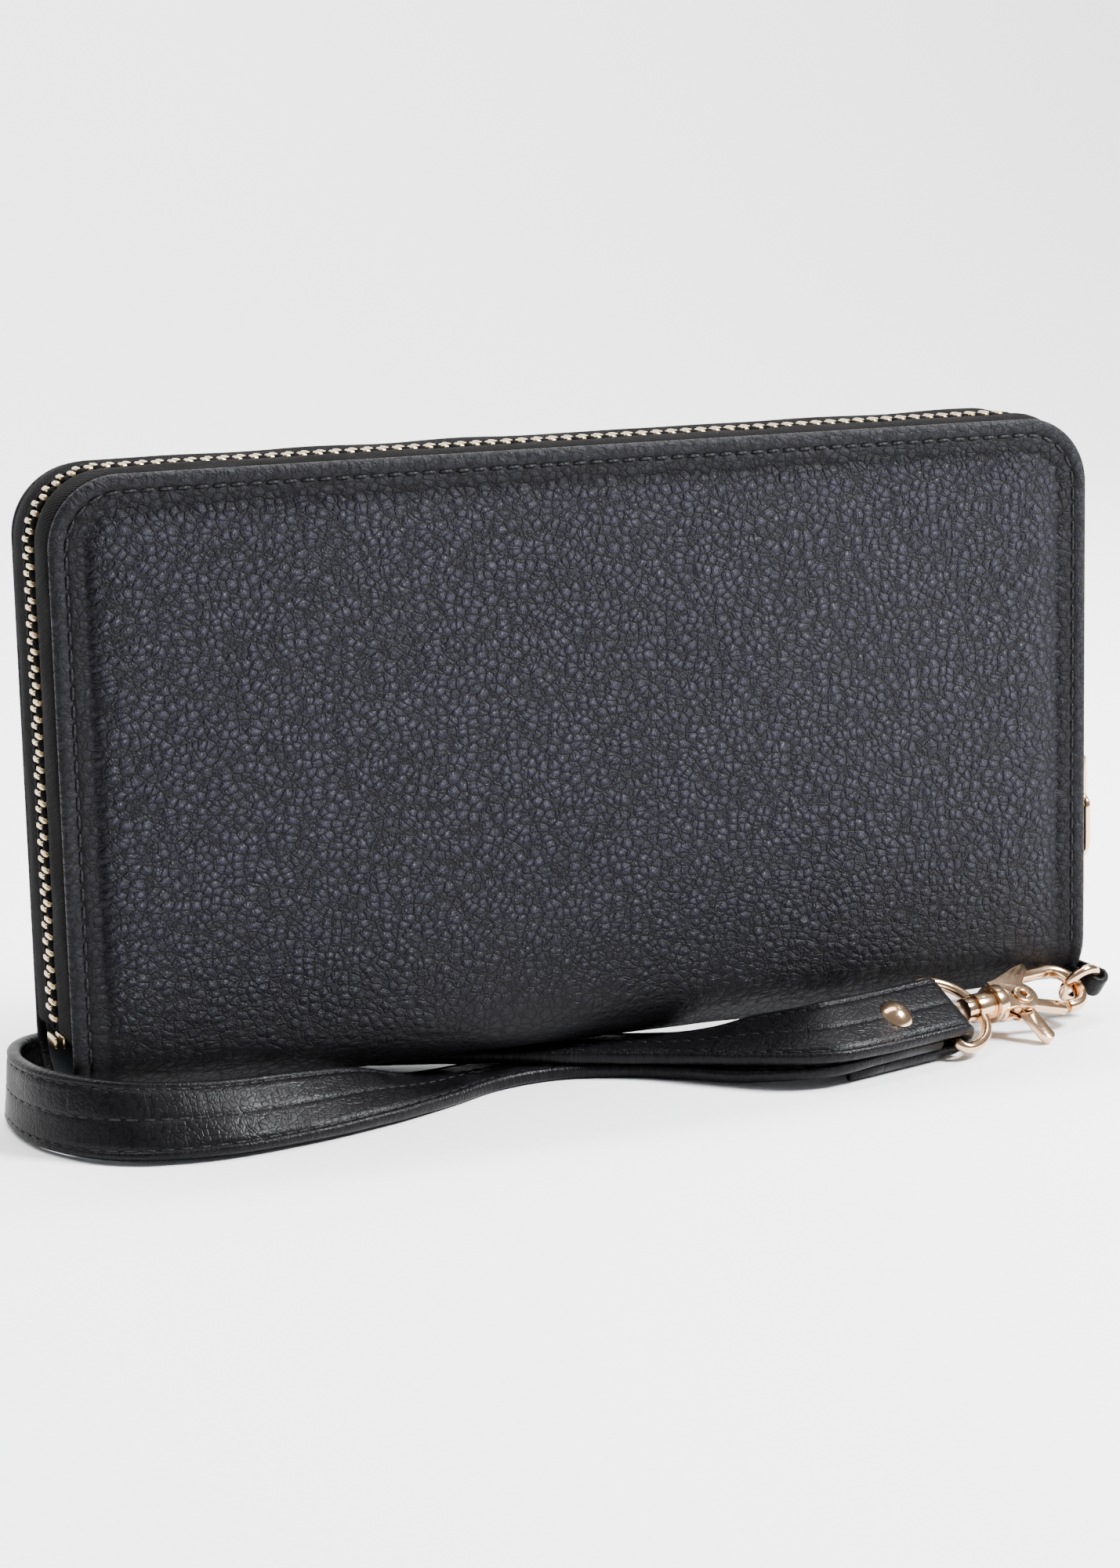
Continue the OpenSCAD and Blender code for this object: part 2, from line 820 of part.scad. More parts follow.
// A folded leather tab: its loop holds the side ring and its ends lie in the spine.
module side_tab() color(black_leather) placed()
    difference() {
        hull() {
            at_end(side_bar_u, 0, mid_w)
                cylinder(h = side_tab_w, r = tab_loop_r, center = true, $fn = 32);
            translate(tab_root)
                cube([0.6, 2.4, side_tab_w], center = true);
        }
        at_end(side_ring_u, 0, mid_w)
            rotate([90, 0, 0])
                rotate_extrude()
                    translate([side_ring_r, 0])
                        circle(r = side_wire + 0.3);
    }

front_cover();
front_padding();
front_board();
front_lining();
front_card_slot(1);  // front_card_slot_1
front_card_slot(2);  // front_card_slot_2
front_card_slot(3);  // front_card_slot_3
front_card_slot(4);  // front_card_slot_4
back_cover();
back_padding();
back_board();
back_lining();
back_card_slot(1);  // back_card_slot_1
back_card_slot(2);  // back_card_slot_2
back_card_slot(3);  // back_card_slot_3
back_card_slot(4);  // back_card_slot_4
spine_leather();
spine_lining();
gusset_left();
gusset_right();
divider_front();
divider_rear();
coin_pocket_front();
coin_pocket_rear();
coin_zip_tape();
coin_zip_teeth();
coin_zip_slider();
coin_zip_pull();
zip_tape_front();
zip_tape_rear();
zip_tape_ends();
zip_teeth_front();
zip_teeth_rear();
zip_stop_front();
zip_stops_rear();
zip_slider();
pull_ring();
pull_tab();
side_tab();
side_ring();
strap();
strap_rivet_cap();
strap_rivet_post();
strap_ring();
clasp_body();
clasp_gate();
gate_pin();
gate_spring();
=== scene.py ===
"""Zip around wallet with a wrist strap: leather, zip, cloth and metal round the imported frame."""
import json
import math

import bmesh
import bpy
import numpy as np
from mathutils import Matrix, Vector

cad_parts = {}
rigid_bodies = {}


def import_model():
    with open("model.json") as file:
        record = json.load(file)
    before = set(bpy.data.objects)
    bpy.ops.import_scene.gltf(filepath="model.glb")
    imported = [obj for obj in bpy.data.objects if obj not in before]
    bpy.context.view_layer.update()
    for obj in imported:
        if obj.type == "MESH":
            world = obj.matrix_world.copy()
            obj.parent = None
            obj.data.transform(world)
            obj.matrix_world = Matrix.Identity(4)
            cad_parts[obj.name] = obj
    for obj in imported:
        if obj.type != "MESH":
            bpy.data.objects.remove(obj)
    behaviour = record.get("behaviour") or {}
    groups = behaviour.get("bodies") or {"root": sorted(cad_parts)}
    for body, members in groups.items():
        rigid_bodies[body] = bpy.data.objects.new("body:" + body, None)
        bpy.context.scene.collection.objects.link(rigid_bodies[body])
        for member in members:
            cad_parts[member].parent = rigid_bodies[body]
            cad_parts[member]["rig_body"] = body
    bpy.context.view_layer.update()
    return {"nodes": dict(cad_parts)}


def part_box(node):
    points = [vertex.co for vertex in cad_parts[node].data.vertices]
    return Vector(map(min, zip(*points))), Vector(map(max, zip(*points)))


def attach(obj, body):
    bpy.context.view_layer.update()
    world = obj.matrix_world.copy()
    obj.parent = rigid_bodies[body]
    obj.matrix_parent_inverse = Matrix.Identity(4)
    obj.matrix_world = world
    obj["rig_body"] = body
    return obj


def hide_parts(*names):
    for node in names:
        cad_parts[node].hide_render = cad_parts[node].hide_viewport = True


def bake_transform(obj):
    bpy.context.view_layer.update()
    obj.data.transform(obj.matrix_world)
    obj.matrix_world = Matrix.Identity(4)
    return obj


MM = 0.001

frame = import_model()

# ---------------- the frame

cover_lo, cover_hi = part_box("front_cover")
back_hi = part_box("back_cover")[1]
spine_lo, spine_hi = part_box("spine_leather")

CX = (cover_lo.x + cover_hi.x) / 2
CY = (cover_lo.y + back_hi.y) / 2
HALF_L = (cover_hi.x - cover_lo.x) / 2
HALF_T = (spine_hi.y - spine_lo.y) / 2
LIFT = spine_lo.z
TOP = cover_hi.z
FOLD = spine_hi.z
DOME = CY - HALF_T - cover_lo.y
LEATHER = HALF_T - (CY - cover_hi.y)

CORNER_R = 12 * MM
ROLL_R = 10 * MM
FLAT_Z = LIFT + ROLL_R
MARGIN = 6.0 * MM
STITCH_INSET = 2.8 * MM
EDGE_STEP = 0.3 * MM
FRONT, BACK = -1, 1
HALVES = ((FRONT, "front"), (BACK, "back"))


def smoothstep(a, b, v):
    t = np.clip((np.asarray(v, float) - a) / (b - a), 0, 1)
    return t * t * (3 - 2 * t)


def spread(values, step):
    """The values with evenly spaced ones added, so that no gap is wider than step."""
    out = [values[0]]
    for a, b in zip(values, values[1:]):
        n = max(1, math.ceil(abs(b - a) / step))
        out += [a + (b - a) * k / n for k in range(1, n + 1)]
    return np.array(out)


def edged(low, high, step):
    """Values from low to high, about step apart, with a fine step at both ends."""
    return spread([low, low + EDGE_STEP, high - EDGE_STEP, high], step)


def distances(path):
    """How far along the path each of its points is."""
    return np.concatenate([[0], np.cumsum(np.linalg.norm(np.diff(path, axis=0), axis=1))])


def ripple(u, v, seed, size):
    """Soft uneven field from about -1 to 1, with waves of about the given size."""
    rng = np.random.default_rng(seed)
    total = np.zeros(np.broadcast(u, v).shape)
    for _ in range(10):
        angle = rng.uniform(0, 2 * math.pi)
        wave = 2 * math.pi / (size * rng.uniform(0.6, 1.8))
        total = total + np.sin(wave * (u * math.cos(angle) + v * math.sin(angle)) + rng.uniform(0, 6.28))
    return total / 4


def ridge(v, place, width):
    """1 at place, falling to 0 about twice the width away."""
    return np.exp(-((v - place) / width) ** 2)


# ---------------- mesh helpers


def grid_faces(rows, cols, base=0, wrap=False, flip=False):
    """Quads of a grid of points stored row by row."""
    faces = []
    for j in range(rows - 1):
        for i in range(cols if wrap else cols - 1):
            a = base + j * cols + i
            b = base + j * cols + (i + 1) % cols
            quad = (a, b, b + cols, a + cols)
            faces.append(quad[::-1] if flip else quad)
    return faces


def new_piece(name, points, faces, material, body=None, uvs=None, weld=True, margin=None):
    """A mesh object from points, with UVs in metres where they are given, and a second layer that holds
    each point's distance from the edge."""
    mesh = bpy.data.meshes.new(name)
    mesh.from_pydata(np.asarray(points, float).tolist(), [], [list(f) for f in faces])
    if uvs is not None:
        loops = np.zeros(len(mesh.loops), int)
        mesh.loops.foreach_get("vertex_index", loops)
        layer = mesh.uv_layers.new(name="UVMap")
        layer.data.foreach_set("uv", np.asarray(uvs, float)[loops].ravel())
    if margin is not None:
        layer = mesh.uv_layers.new(name="margin")
        pairs = np.stack([margin, margin], axis=-1)
        layer.data.foreach_set("uv", pairs[loops].ravel())
    if weld:
        bm = bmesh.new()
        bm.from_mesh(mesh)
        bmesh.ops.remove_doubles(bm, verts=bm.verts, dist=1e-6)
        bmesh.ops.dissolve_degenerate(bm, edges=bm.edges, dist=1e-7)
        bmesh.ops.recalc_face_normals(bm, faces=bm.faces)
        bm.to_mesh(mesh)
        bm.free()
    mesh.polygons.foreach_set("use_smooth", [True] * len(mesh.polygons))
    mesh.materials.append(material)
    obj = bpy.data.objects.new(name, mesh)
    bpy.context.scene.collection.objects.link(obj)
    if body:
        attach(obj, body)
    return obj


def new_skin(name, slabs, material, body=None, margin=None):
    """A piece of closed skins, each between two grids of points of the same shape: outer, inner and the
    two grids of UVs."""
    points, faces, uvs, base = [], [], [], 0
    for outer, inner, u, v in slabs:
        rows, cols = outer.shape[:2]
        n = rows * cols
        uv = np.stack([u, v], axis=-1).reshape(-1, 2)
        points += [outer.reshape(-1, 3), inner.reshape(-1, 3)]
        uvs += [uv, uv]
        faces += grid_faces(rows, cols, base) + grid_faces(rows, cols, base + n, flip=True)
        rim = list(range(cols))
        rim += [j * cols + cols - 1 for j in range(1, rows)]
        rim += [(rows - 1) * cols + i for i in range(cols - 2, -1, -1)]
        rim += [j * cols for j in range(rows - 2, 0, -1)]
        for a, b in zip(rim, rim[1:] + rim[:1]):
            faces.append((base + b, base + a, base + a + n, base + b + n))
        base += 2 * n
    return new_piece(name, np.concatenate(points), faces, material, body, np.concatenate(uvs), margin=margin)


def bar_faces(rings, around, bars):
    """Faces of bars with capped ends, each of the same number of rings of points."""
    size = rings * around
    one = grid_faces(rings, around, wrap=True)
    one += [tuple(range(around - 1, -1, -1)), tuple(range(size - around, size))]
    return [tuple(v + k * size for v in face) for k in range(bars) for face in one]


def capsules(starts, ends, normals, width, height):
    """Points and faces of rounded thread lengths from starts to ends, flattened along normals."""
    starts, ends, normals = (np.asarray(v, float) for v in (starts, ends, normals))
    along = ends - starts
    length = np.linalg.norm(along, axis=1, keepdims=True)
    along = along / length
    side = np.cross(along, normals)
    side = side / np.linalg.norm(side, axis=1, keepdims=True)
    lift = np.cross(side, along)
    shape = [(0.0, 0.25), (0.14, 0.8), (0.5, 1.0), (0.86, 0.8), (1.0, 0.25)]
    ring = [(math.cos(a), math.sin(a)) for a in np.arange(6) * math.pi / 3]
    points = []
    for t, swell in shape:
        for c, s in ring:
            points.append(starts + along * length * t + side * c * swell * width / 2
                          + lift * s * swell * height / 2)
    points = np.stack(points, axis=1)
    return points.reshape(-1, 3), bar_faces(len(shape), len(ring), len(points))


BEVEL_SEGMENTS = 2
BEVEL_ANGLE = math.radians(28)
SHARP_ANGLE = math.radians(38)


def softened(node, width, material):
    """A CAD node's shape with its sharp edges rounded, which stands for the node."""
    source = frame["nodes"][node]
    mesh = bpy.data.meshes.new(node + "_finish")
    bm = bmesh.new()
    bm.from_mesh(source.data)
    bmesh.ops.remove_doubles(bm, verts=bm.verts, dist=2e-6)
    bmesh.ops.dissolve_limit(bm, angle_limit=math.radians(0.5), verts=bm.verts, edges=bm.edges)
    bmesh.ops.recalc_face_normals(bm, faces=bm.faces)
    bm.to_mesh(mesh)
    bm.free()
    mesh.materials.append(material)
    obj = bpy.data.objects.new(node + "_finish", mesh)
    bpy.context.scene.collection.objects.link(obj)
    bevel = obj.modifiers.new("rounded_edges", "BEVEL")
    bevel.width = width
    bevel.segments = BEVEL_SEGMENTS
    bevel.limit_method = "ANGLE"
    bevel.angle_limit = BEVEL_ANGLE
    bevel.use_clamp_overlap = True
    apply_modifiers(obj)
    obj.data.shade_smooth()
    obj.data.set_sharp_from_angle(angle=SHARP_ANGLE)
    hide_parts(node)
    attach(obj, source["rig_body"])


def apply_modifiers(obj):
    """Turns the object's modifiers into its mesh."""
    depsgraph = bpy.context.evaluated_depsgraph_get()
    depsgraph.update()
    done = bpy.data.meshes.new_from_object(obj.evaluated_get(depsgraph), depsgraph=depsgraph)
    obj.modifiers.clear()
    obj.data = done


# ---------------- materials


class Shader:
    """Builds one node material."""

    def __init__(self, name):
        self.material = bpy.data.materials.new(name)
        self.material.use_nodes = True
        self.tree = self.material.node_tree
        self.shader = self.tree.nodes["Principled BSDF"]
        self.coord = self.tree.nodes.new("ShaderNodeTexCoord")

    def node(self, kind, inputs=(), **settings):
        made = self.tree.nodes.new("ShaderNode" + kind)
        for key, value in settings.items():
            setattr(made, key, value)
        for key, value in dict(inputs).items():
            if isinstance(value, bpy.types.NodeSocket):
                self.tree.links.new(value, made.inputs[key])
            else:
                made.inputs[key].default_value = value
        return made

    def math(self, operation, a, b=0.0):
        return self.node("Math", {0: a, 1: b}, operation=operation).outputs[0]

    def mul(self, a, b):
        return self.math("MULTIPLY", a, b)

    def add(self, a, b):
        return self.math("ADD", a, b)

    def weighted(self, *pairs):
        """Sum of (value, weight) pairs."""
        total = self.mul(*pairs[0])
        for pair in pairs[1:]:
            total = self.add(total, self.mul(*pair))
        return total

    def cracks(self, vector, scale, randomness=1.0):
        """Distance from the borders of rounded cells."""
        return self.node("TexVoronoi", {"Vector": vector, "Scale": scale, "Randomness": randomness},
                         feature="DISTANCE_TO_EDGE").outputs["Distance"]

    def scaled(self, vector, *scale):
        return self.node("Mapping", {"Vector": vector, "Scale": scale}).outputs[0]

    def part(self, vector, axis):
        return self.node("SeparateXYZ", {0: vector}).outputs[axis]

    def remap(self, value, low, high, out_low=0.0, out_high=1.0, smooth=True):
        made = self.node("MapRange", {"Value": value, "From Min": low, "From Max": high,
                                      "To Min": out_low, "To Max": out_high})
        made.interpolation_type = "SMOOTHSTEP" if smooth else "LINEAR"
        return made.outputs["Result"]

    def noise(self, scale, detail=3.0, vector=None, rough=0.5):
        return self.node("TexNoise", {"Vector": vector or self.surface(), "Scale": scale,
                                      "Detail": detail, "Roughness": rough}).outputs["Fac"]

    def surface(self):
        """Distances over the piece in metres: its UVs."""
        return self.coord.outputs["UV"]

    def solid(self):
        """Places in the piece's own space, in metres."""
        return self.coord.outputs["Object"]

    def warped(self, vector, scale, amount):
        field = self.node("TexNoise", {"Vector": vector, "Scale": scale, "Detail": 2.0}).outputs["Color"]
        centred = self.node("VectorMath", {0: field, 1: (0.5, 0.5, 0.5)}, operation="SUBTRACT").outputs[0]
        moved = self.node("VectorMath", {0: centred, "Scale": amount}, operation="SCALE").outputs[0]
        return self.node("VectorMath", {0: vector, 1: moved}, operation="ADD").outputs[0]

    def ramp(self, value, *stops):
        made = self.node("ValToRGB", {"Fac": value})
        while len(made.color_ramp.elements) < len(stops):
            made.color_ramp.elements.new(0.5)
        for element, (place, colour) in zip(made.color_ramp.elements, stops):
            element.position = place
            element.color = (*colour, 1.0)
        return made.outputs["Color"]

    def bump(self, height, distance):
        return self.node("Bump", {"Height": height, "Distance": distance, "Strength": 1.0}).outputs["Normal"]

    def set(self, **values):
        for key, value in values.items():
            socket = self.shader.inputs[key.replace("_", " ")]
            if isinstance(value, bpy.types.NodeSocket):
                self.tree.links.new(value, socket)
            else:
                socket.default_value = value
        return self.material


def pebbled_leather():
    """Soft black leather: rounded grain cells with painted shade in their creases and painted light on their
    centres, stretched smooth round the spine and pressed smooth along the stitched margin. Painted shade also
    darkens the valley inside the margin and the leather towards the bottom."""
    s = Shader("pebbled_leather")
    inset = s.part(s.node("UVMap", uv_map="margin").outputs[0], 0)
    height_on = s.part(s.surface(), 1)
    wide = s.scaled(s.surface(), 0.86, 1.08, 1.0)
    place = s.warped(s.warped(wide, 80.0, 0.0028), 480.0, 0.0007)
    edge = s.cracks(place, 640.0, 0.85)
    dome = s.node("TexVoronoi", {"Vector": place, "Scale": 640.0, "Randomness": 0.85, "Smoothness": 0.25},
                  feature="SMOOTH_F1").outputs["Distance"]
    fine = s.cracks(s.warped(s.surface(), 700.0, 0.0007), 1700.0)
    stretched = s.remap(height_on, -0.008, 0.014, 0.1, 1.0)
    patchy = s.remap(s.noise(26.0, 4.0), 0.32, 0.68, 0.7, 1.0)
    pressed = s.remap(inset, 0.0026, 0.0088, 0.14, 1.0)
    strength = s.mul(s.mul(stretched, patchy), pressed)
    creases = s.remap(edge, 0.0, 0.13)
    pebble = s.remap(dome, 0.64, -0.08)
    wrinkle = s.remap(fine, 0.0, 0.2)
    relief = s.mul(s.weighted((creases, 0.26), (pebble, 0.8), (wrinkle, 0.16)), strength)
    pores = s.noise(5200.0, 2.0)
    broad = s.noise(34.0, 4.0)
    folds = s.node("TexNoise", {"Vector": s.scaled(s.surface(), 60.0, 420.0, 1.0), "Scale": 1.0,
                                "Detail": 5.0, "Roughness": 0.6, "Distortion": 1.2}).outputs["Fac"]
    folds = s.mul(folds, s.remap(height_on, 0.012, -0.004, 0.0, 0.3))
    nicks = s.noise(900.0, 4.0, s.warped(s.surface(), 200.0, 0.003), 0.65)
    nicks = s.mul(nicks, s.remap(inset, 0.0075, 0.003, 0.0, 0.5))
    height = s.add(s.add(s.add(relief, s.mul(pores, 0.04)), s.mul(broad, 0.9)), s.add(folds, nicks))
    normal = s.bump(height, 0.00105)
    # Painted light and shade in the colour: the cell centres are lightened and the creases darkened, besides
    # the bump.
    lit_domes_shaded_creases = s.weighted((creases, 0.3), (pebble, 0.7))
    tone_and_painted_light = s.weighted((lit_domes_shaded_creases, 0.8), (s.noise(280.0, 2.0), 0.2))
    # Where the grain is stretched round the spine or pressed along the margin, the painted light on the cell
    # centres fades with it and the leather goes darker.
    tone_and_painted_light = s.mul(tone_and_painted_light, s.remap(strength, 0.1, 0.9, 0.3, 1.0))
    # Painted shade in the valley between the stitched margin and the padding; the same mask also raises the
    # roughness there.
    valley = s.mul(s.remap(inset, 0.0022, 0.0032), s.remap(inset, 0.0088, 0.0052))
    tone_and_painted_light = s.mul(tone_and_painted_light, s.math("SUBTRACT", 1.0, s.mul(valley, 0.5)))
    # Painted shade: the leather darkens towards the bottom of the cover and round the roll's underside.
    tone_and_painted_light = s.mul(tone_and_painted_light, s.remap(height_on, -0.012, 0.03, 0.4, 1.0))
    colour = s.ramp(tone_and_painted_light, (0.0, (0.0011, 0.001, 0.0013)), (0.4, (0.0086, 0.0083, 0.0126)),
                    (1.0, (0.0275, 0.0268, 0.042)))
    rough = s.remap(creases, 0.0, 1.0, 0.62, 0.42)
    rough = s.add(s.add(rough, s.mul(valley, 0.12)), s.mul(s.noise(90.0, 3.0), 0.1))
    return s.set(Base_Color=colour, Roughness=rough, Normal=normal, Specular_IOR_Level=0.14)


def strap_leather(name, size, distance, rough_low, rough_high):
    """Smoother leather for straps, edges, slots and tabs, with fine creases across it."""
    s = Shader(name)
    cells = s.remap(s.cracks(s.warped(s.surface(), 300.0, 0.0012), size), 0.0, 0.16)
    creases = s.noise(150.0, 5.0, s.warped(s.surface(), 60.0, 0.006), 0.62)
    across = s.scaled(s.warped(s.surface(), 90.0, 0.004), 900.0, 110.0, 1.0)
    nicks = s.remap(s.noise(1.0, 4.0, across, 0.6), 0.5, 0.72)
    height = s.math("SUBTRACT", s.weighted((cells, 0.22), (creases, 0.9)), s.mul(nicks, 0.35))
    normal = s.bump(height, distance)
    colour = s.ramp(s.mul(cells, s.noise(200.0, 3.0)), (0.0, (0.0014, 0.0013, 0.0015)),
                    (0.6, (0.0042, 0.0039, 0.0047)))
    rough = s.remap(s.noise(120.0, 4.0), 0.3, 0.7, rough_low, rough_high)
    return s.set(Base_Color=colour, Roughness=rough, Normal=normal, Specular_IOR_Level=0.1)


def woven(name, dark, light, pitch, distance, twill=0.0, rough=0.85, sheen=0.15, gloss=0.3):
    """Cloth of two crossing sets of yarns; twill leans one set over."""
    s = Shader(name)
    turns = 2 * math.pi / pitch
    u, v = s.part(s.surface(), 0), s.part(s.surface(), 1)
    across = s.math("SINE", s.mul(s.add(u, s.mul(v, twill)), turns))
    along = s.math("SINE", s.mul(v, turns))
    weave = s.remap(s.mul(across, along), -1.0, 1.0)
    height = s.add(weave, s.mul(s.noise(3000.0, 3.0), 0.35))
    soft = s.weighted((weave, 0.6), (s.noise(140.0, 4.0), 0.4))
    colour = s.ramp(soft, (0.15, dark), (0.85, light))
    return s.set(Base_Color=colour, Roughness=rough, Normal=s.bump(height, distance),
                 Sheen_Weight=sheen, Sheen_Roughness=0.4, Specular_IOR_Level=gloss)


def polished_metal(name, base, warm, rough_low, rough_high):
    """Plated metal with fine polishing marks and slightly uneven gloss."""
    s = Shader(name)
    fine = s.noise(1.0, 3.0, s.scaled(s.solid(), 900.0, 9000.0, 4000.0))
    cloud = s.noise(260.0, 4.0, s.solid())
    colour = s.ramp(cloud, (0.3, warm), (0.7, base))
    rough = s.remap(s.weighted((fine, 0.5), (cloud, 0.5)), 0.3, 0.7, rough_low, rough_high)
    return s.set(Base_Color=colour, Metallic=1.0, Roughness=rough, Normal=s.bump(fine, 0.000006))


def grainy(name, dark, light, scale, distance, rough):
    """Board and foam: a speckled solid with fine relief."""
    s = Shader(name)
    speck = s.noise(scale, 4.0, s.solid())
    return s.set(Base_Color=s.ramp(speck, (0.3, dark), (0.7, light)), Roughness=rough,
                 Normal=s.bump(speck, distance))


def twisted_thread():
    s = Shader("waxed_thread")
    twist = s.node("TexWave", {"Vector": s.solid(), "Scale": 700.0, "Distortion": 1.5, "Detail": 1.0},
                   bands_direction="DIAGONAL").outputs["Fac"]
    colour = s.ramp(twist, (0.0, (0.0015, 0.0015, 0.002)), (1.0, (0.006, 0.006, 0.0072)))
    return s.set(Base_Color=colour, Roughness=s.remap(twist, 0.0, 1.0, 0.66, 0.46),
                 Normal=s.bump(twist, 0.00005), Specular_IOR_Level=0.2)


COVER = pebbled_leather()
STRAP = strap_leather("strap_leather", 950.0, 0.00016, 0.34, 0.5)
SLOT = strap_leather("slot_leather", 1100.0, 0.00014, 0.4, 0.55)
TAPE = woven("zip_tape_cloth", (0.0012, 0.001, 0.001), (0.0062, 0.0052, 0.0052), 0.00062, 0.0002, twill=0.5,
             rough=0.95, sheen=0.0, gloss=0.08)
LINING = woven("lining_cloth", (0.012, 0.012, 0.016), (0.036, 0.037, 0.046), 0.00052, 0.00009,
               rough=0.7, sheen=0.3)
GOLD = polished_metal("rose_gold_plate", (0.80, 0.55, 0.34), (0.68, 0.43, 0.25), 0.1, 0.2)
PALE = polished_metal("pale_gold_plate", (0.52, 0.4, 0.22), (0.36, 0.27, 0.14), 0.2, 0.34)
STEEL = polished_metal("spring_steel", (0.62, 0.62, 0.63), (0.5, 0.5, 0.52), 0.2, 0.32)
BOARD = grainy("grey_board", (0.2, 0.19, 0.175), (0.32, 0.3, 0.275), 900.0, 0.00006, 0.9)
FOAM = grainy("soft_foam", (0.16, 0.16, 0.165), (0.26, 0.26, 0.27), 1400.0, 0.0002, 0.95)
THREAD = twisted_thread()

# ---------------- camera

VIEW_AZIMUTH = math.radians(-21.99)
VIEW_ELEVATION = math.radians(10.604)
VIEW_ROLL = math.radians(-1.369)
VIEW_DISTANCE = 602.8 * MM
SENSOR_HEIGHT = 24.0
LENS = 54.05
VIEW_TARGET = Vector((CX - 8.12 * MM, CY - HALF_T, LIFT + 47.64 * MM))


def place_camera():
    away = Vector((math.sin(VIEW_AZIMUTH) * math.cos(VIEW_ELEVATION),
                   -math.cos(VIEW_AZIMUTH) * math.cos(VIEW_ELEVATION),
                   math.sin(VIEW_ELEVATION)))
    right = Vector((0, 0, 1)).cross(away).normalized()
    up = away.cross(right)
    turned_right = right * math.cos(VIEW_ROLL) + up * math.sin(VIEW_ROLL)
    turned_up = up * math.cos(VIEW_ROLL) - right * math.sin(VIEW_ROLL)
    turn = Matrix((turned_right, turned_up, away)).transposed()
    data = bpy.data.cameras.new("camera")
    data.sensor_fit = "VERTICAL"
    data.sensor_height = SENSOR_HEIGHT
    data.lens = LENS
    data.clip_start = 0.01
    camera = bpy.data.objects.new("camera", data)
    camera.matrix_world = Matrix.Translation(VIEW_TARGET + away * VIEW_DISTANCE) @ turn.to_4x4()
    bpy.context.scene.collection.objects.link(camera)
    bpy.context.scene.camera = camera


place_camera()

# ---------------- covers

SIDE_STEPS = [d * MM for d in (0, 0.06, 0.2, 0.42, 0.75, 1.2, 1.8, 2.35, 2.6, 2.8, 3.0, 3.25, 3.8, 4.5, 5.1,
                               5.6, 6.0, 6.4, 6.8, 7.3, 7.9, 8.6, 9.5, 10.6, 12)]
RING = len(SIDE_STEPS)
ARC = ROLL_R * math.pi / 2
UNDER = HALF_T - ROLL_R
SKIN_STEP = 1.5 * MM


def outline_grid():
    """Rows and columns of a cover: x, developed height s (0 where the roll begins) and inset d."""
    inner_x = spread([-(HALF_L - CORNER_R), HALF_L - CORNER_R], SKIN_STEP)[1:-1]
    sides = np.array(SIDE_STEPS)
    column_x = np.concatenate([-HALF_L + sides, inner_x, HALF_L - sides[::-1]])
    column_d = np.concatenate([sides, np.full(len(inner_x), CORNER_R), sides[::-1]])
    low = spread([-(ARC + UNDER), -ARC, 0.0], 0.8 * MM)
    high = spread([0.0, TOP - CORNER_R - FLAT_Z], SKIN_STEP)[1:-1]
    top_s = TOP - FLAT_Z
    row_s = np.concatenate([low, high, top_s - sides[::-1]])
    row_d = np.concatenate([np.full(len(low) + len(high), CORNER_R), sides[::-1]])
    x, s = np.meshgrid(column_x, row_s)
    d = np.minimum(*np.meshgrid(column_d, row_d))
    last = RING - 1
    cols, rows = len(column_x), len(row_s)
    for i in range(RING):
        for j in range(RING):
            k = min(i, j)
            if k == last:
                share = 0.5
            elif i == k:
                share = 0.5 * (last - j) / (last - k)
            else:
                share = 0.5 + 0.5 * (i - k) / (last - k)
            angle = math.pi - share * math.pi / 2
            reach = CORNER_R - SIDE_STEPS[k]
            px = -(HALF_L - CORNER_R) + reach * math.cos(angle)
            ps = top_s - CORNER_R + reach * math.sin(angle)
            row = rows - 1 - j
            x[row, i], s[row, i], d[row, i] = px, ps, SIDE_STEPS[k]
            x[row, cols - 1 - i], s[row, cols - 1 - i], d[row, cols - 1 - i] = -px, ps, SIDE_STEPS[k]
    return x, s, d


PAD_REACH = 6.5 * MM
CROWN_RISE = 0.7 * MM
VALLEY_DEPTH = 0.32 * MM
GROOVE_DEPTH = 0.3 * MM
PUFF_RISE = 0.2 * MM


def pad_rise(x, s, d):
    """How far the leather stands out of the margin's plane over the soft padding."""
    rise = np.sin(np.clip((d - MARGIN) / PAD_REACH, 0, 1) * math.pi / 2) ** 0.85 * DOME
    up = np.clip(s / (TOP - FLAT_Z), 0, 1)
    crown = CROWN_RISE * (1 - (x / HALF_L) ** 2) * up * 2
    crown = crown * (1 - up) * smoothstep(MARGIN, 14 * MM, d) * 2
    valley = -VALLEY_DEPTH * ridge(d, MARGIN, 0.75 * MM)
    groove = -GROOVE_DEPTH * ridge(d, STITCH_INSET, 0.36 * MM)
    puff = PUFF_RISE * ridge(d, 1.45 * MM, 0.75 * MM)
    fade = smoothstep(-9 * MM, 14 * MM, s)
    return (rise + valley) * fade + crown * fade + groove + puff


def bent(side, x, s, out):
    """Points at developed height s on a cover and the roll below it, moved out along the skin's normal."""
    angle = np.clip(-s / ROLL_R, 0, math.pi / 2)
    under = np.clip(-s - ARC, 0, None)
    radius = ROLL_R + out
    y = UNDER + radius * np.cos(angle) - under
    z = FLAT_Z - radius * np.sin(angle) + np.clip(s, 0, None)
    return np.stack([CX + x, CY + side * y, z], axis=-1)


def edge_round(d, radius):
    """How far a full-round edge draws back at inset d."""
    t = np.clip(d / radius, 0, 1)
    return radius - np.sqrt(np.clip(radius ** 2 - (radius - t * radius) ** 2, 0, None))


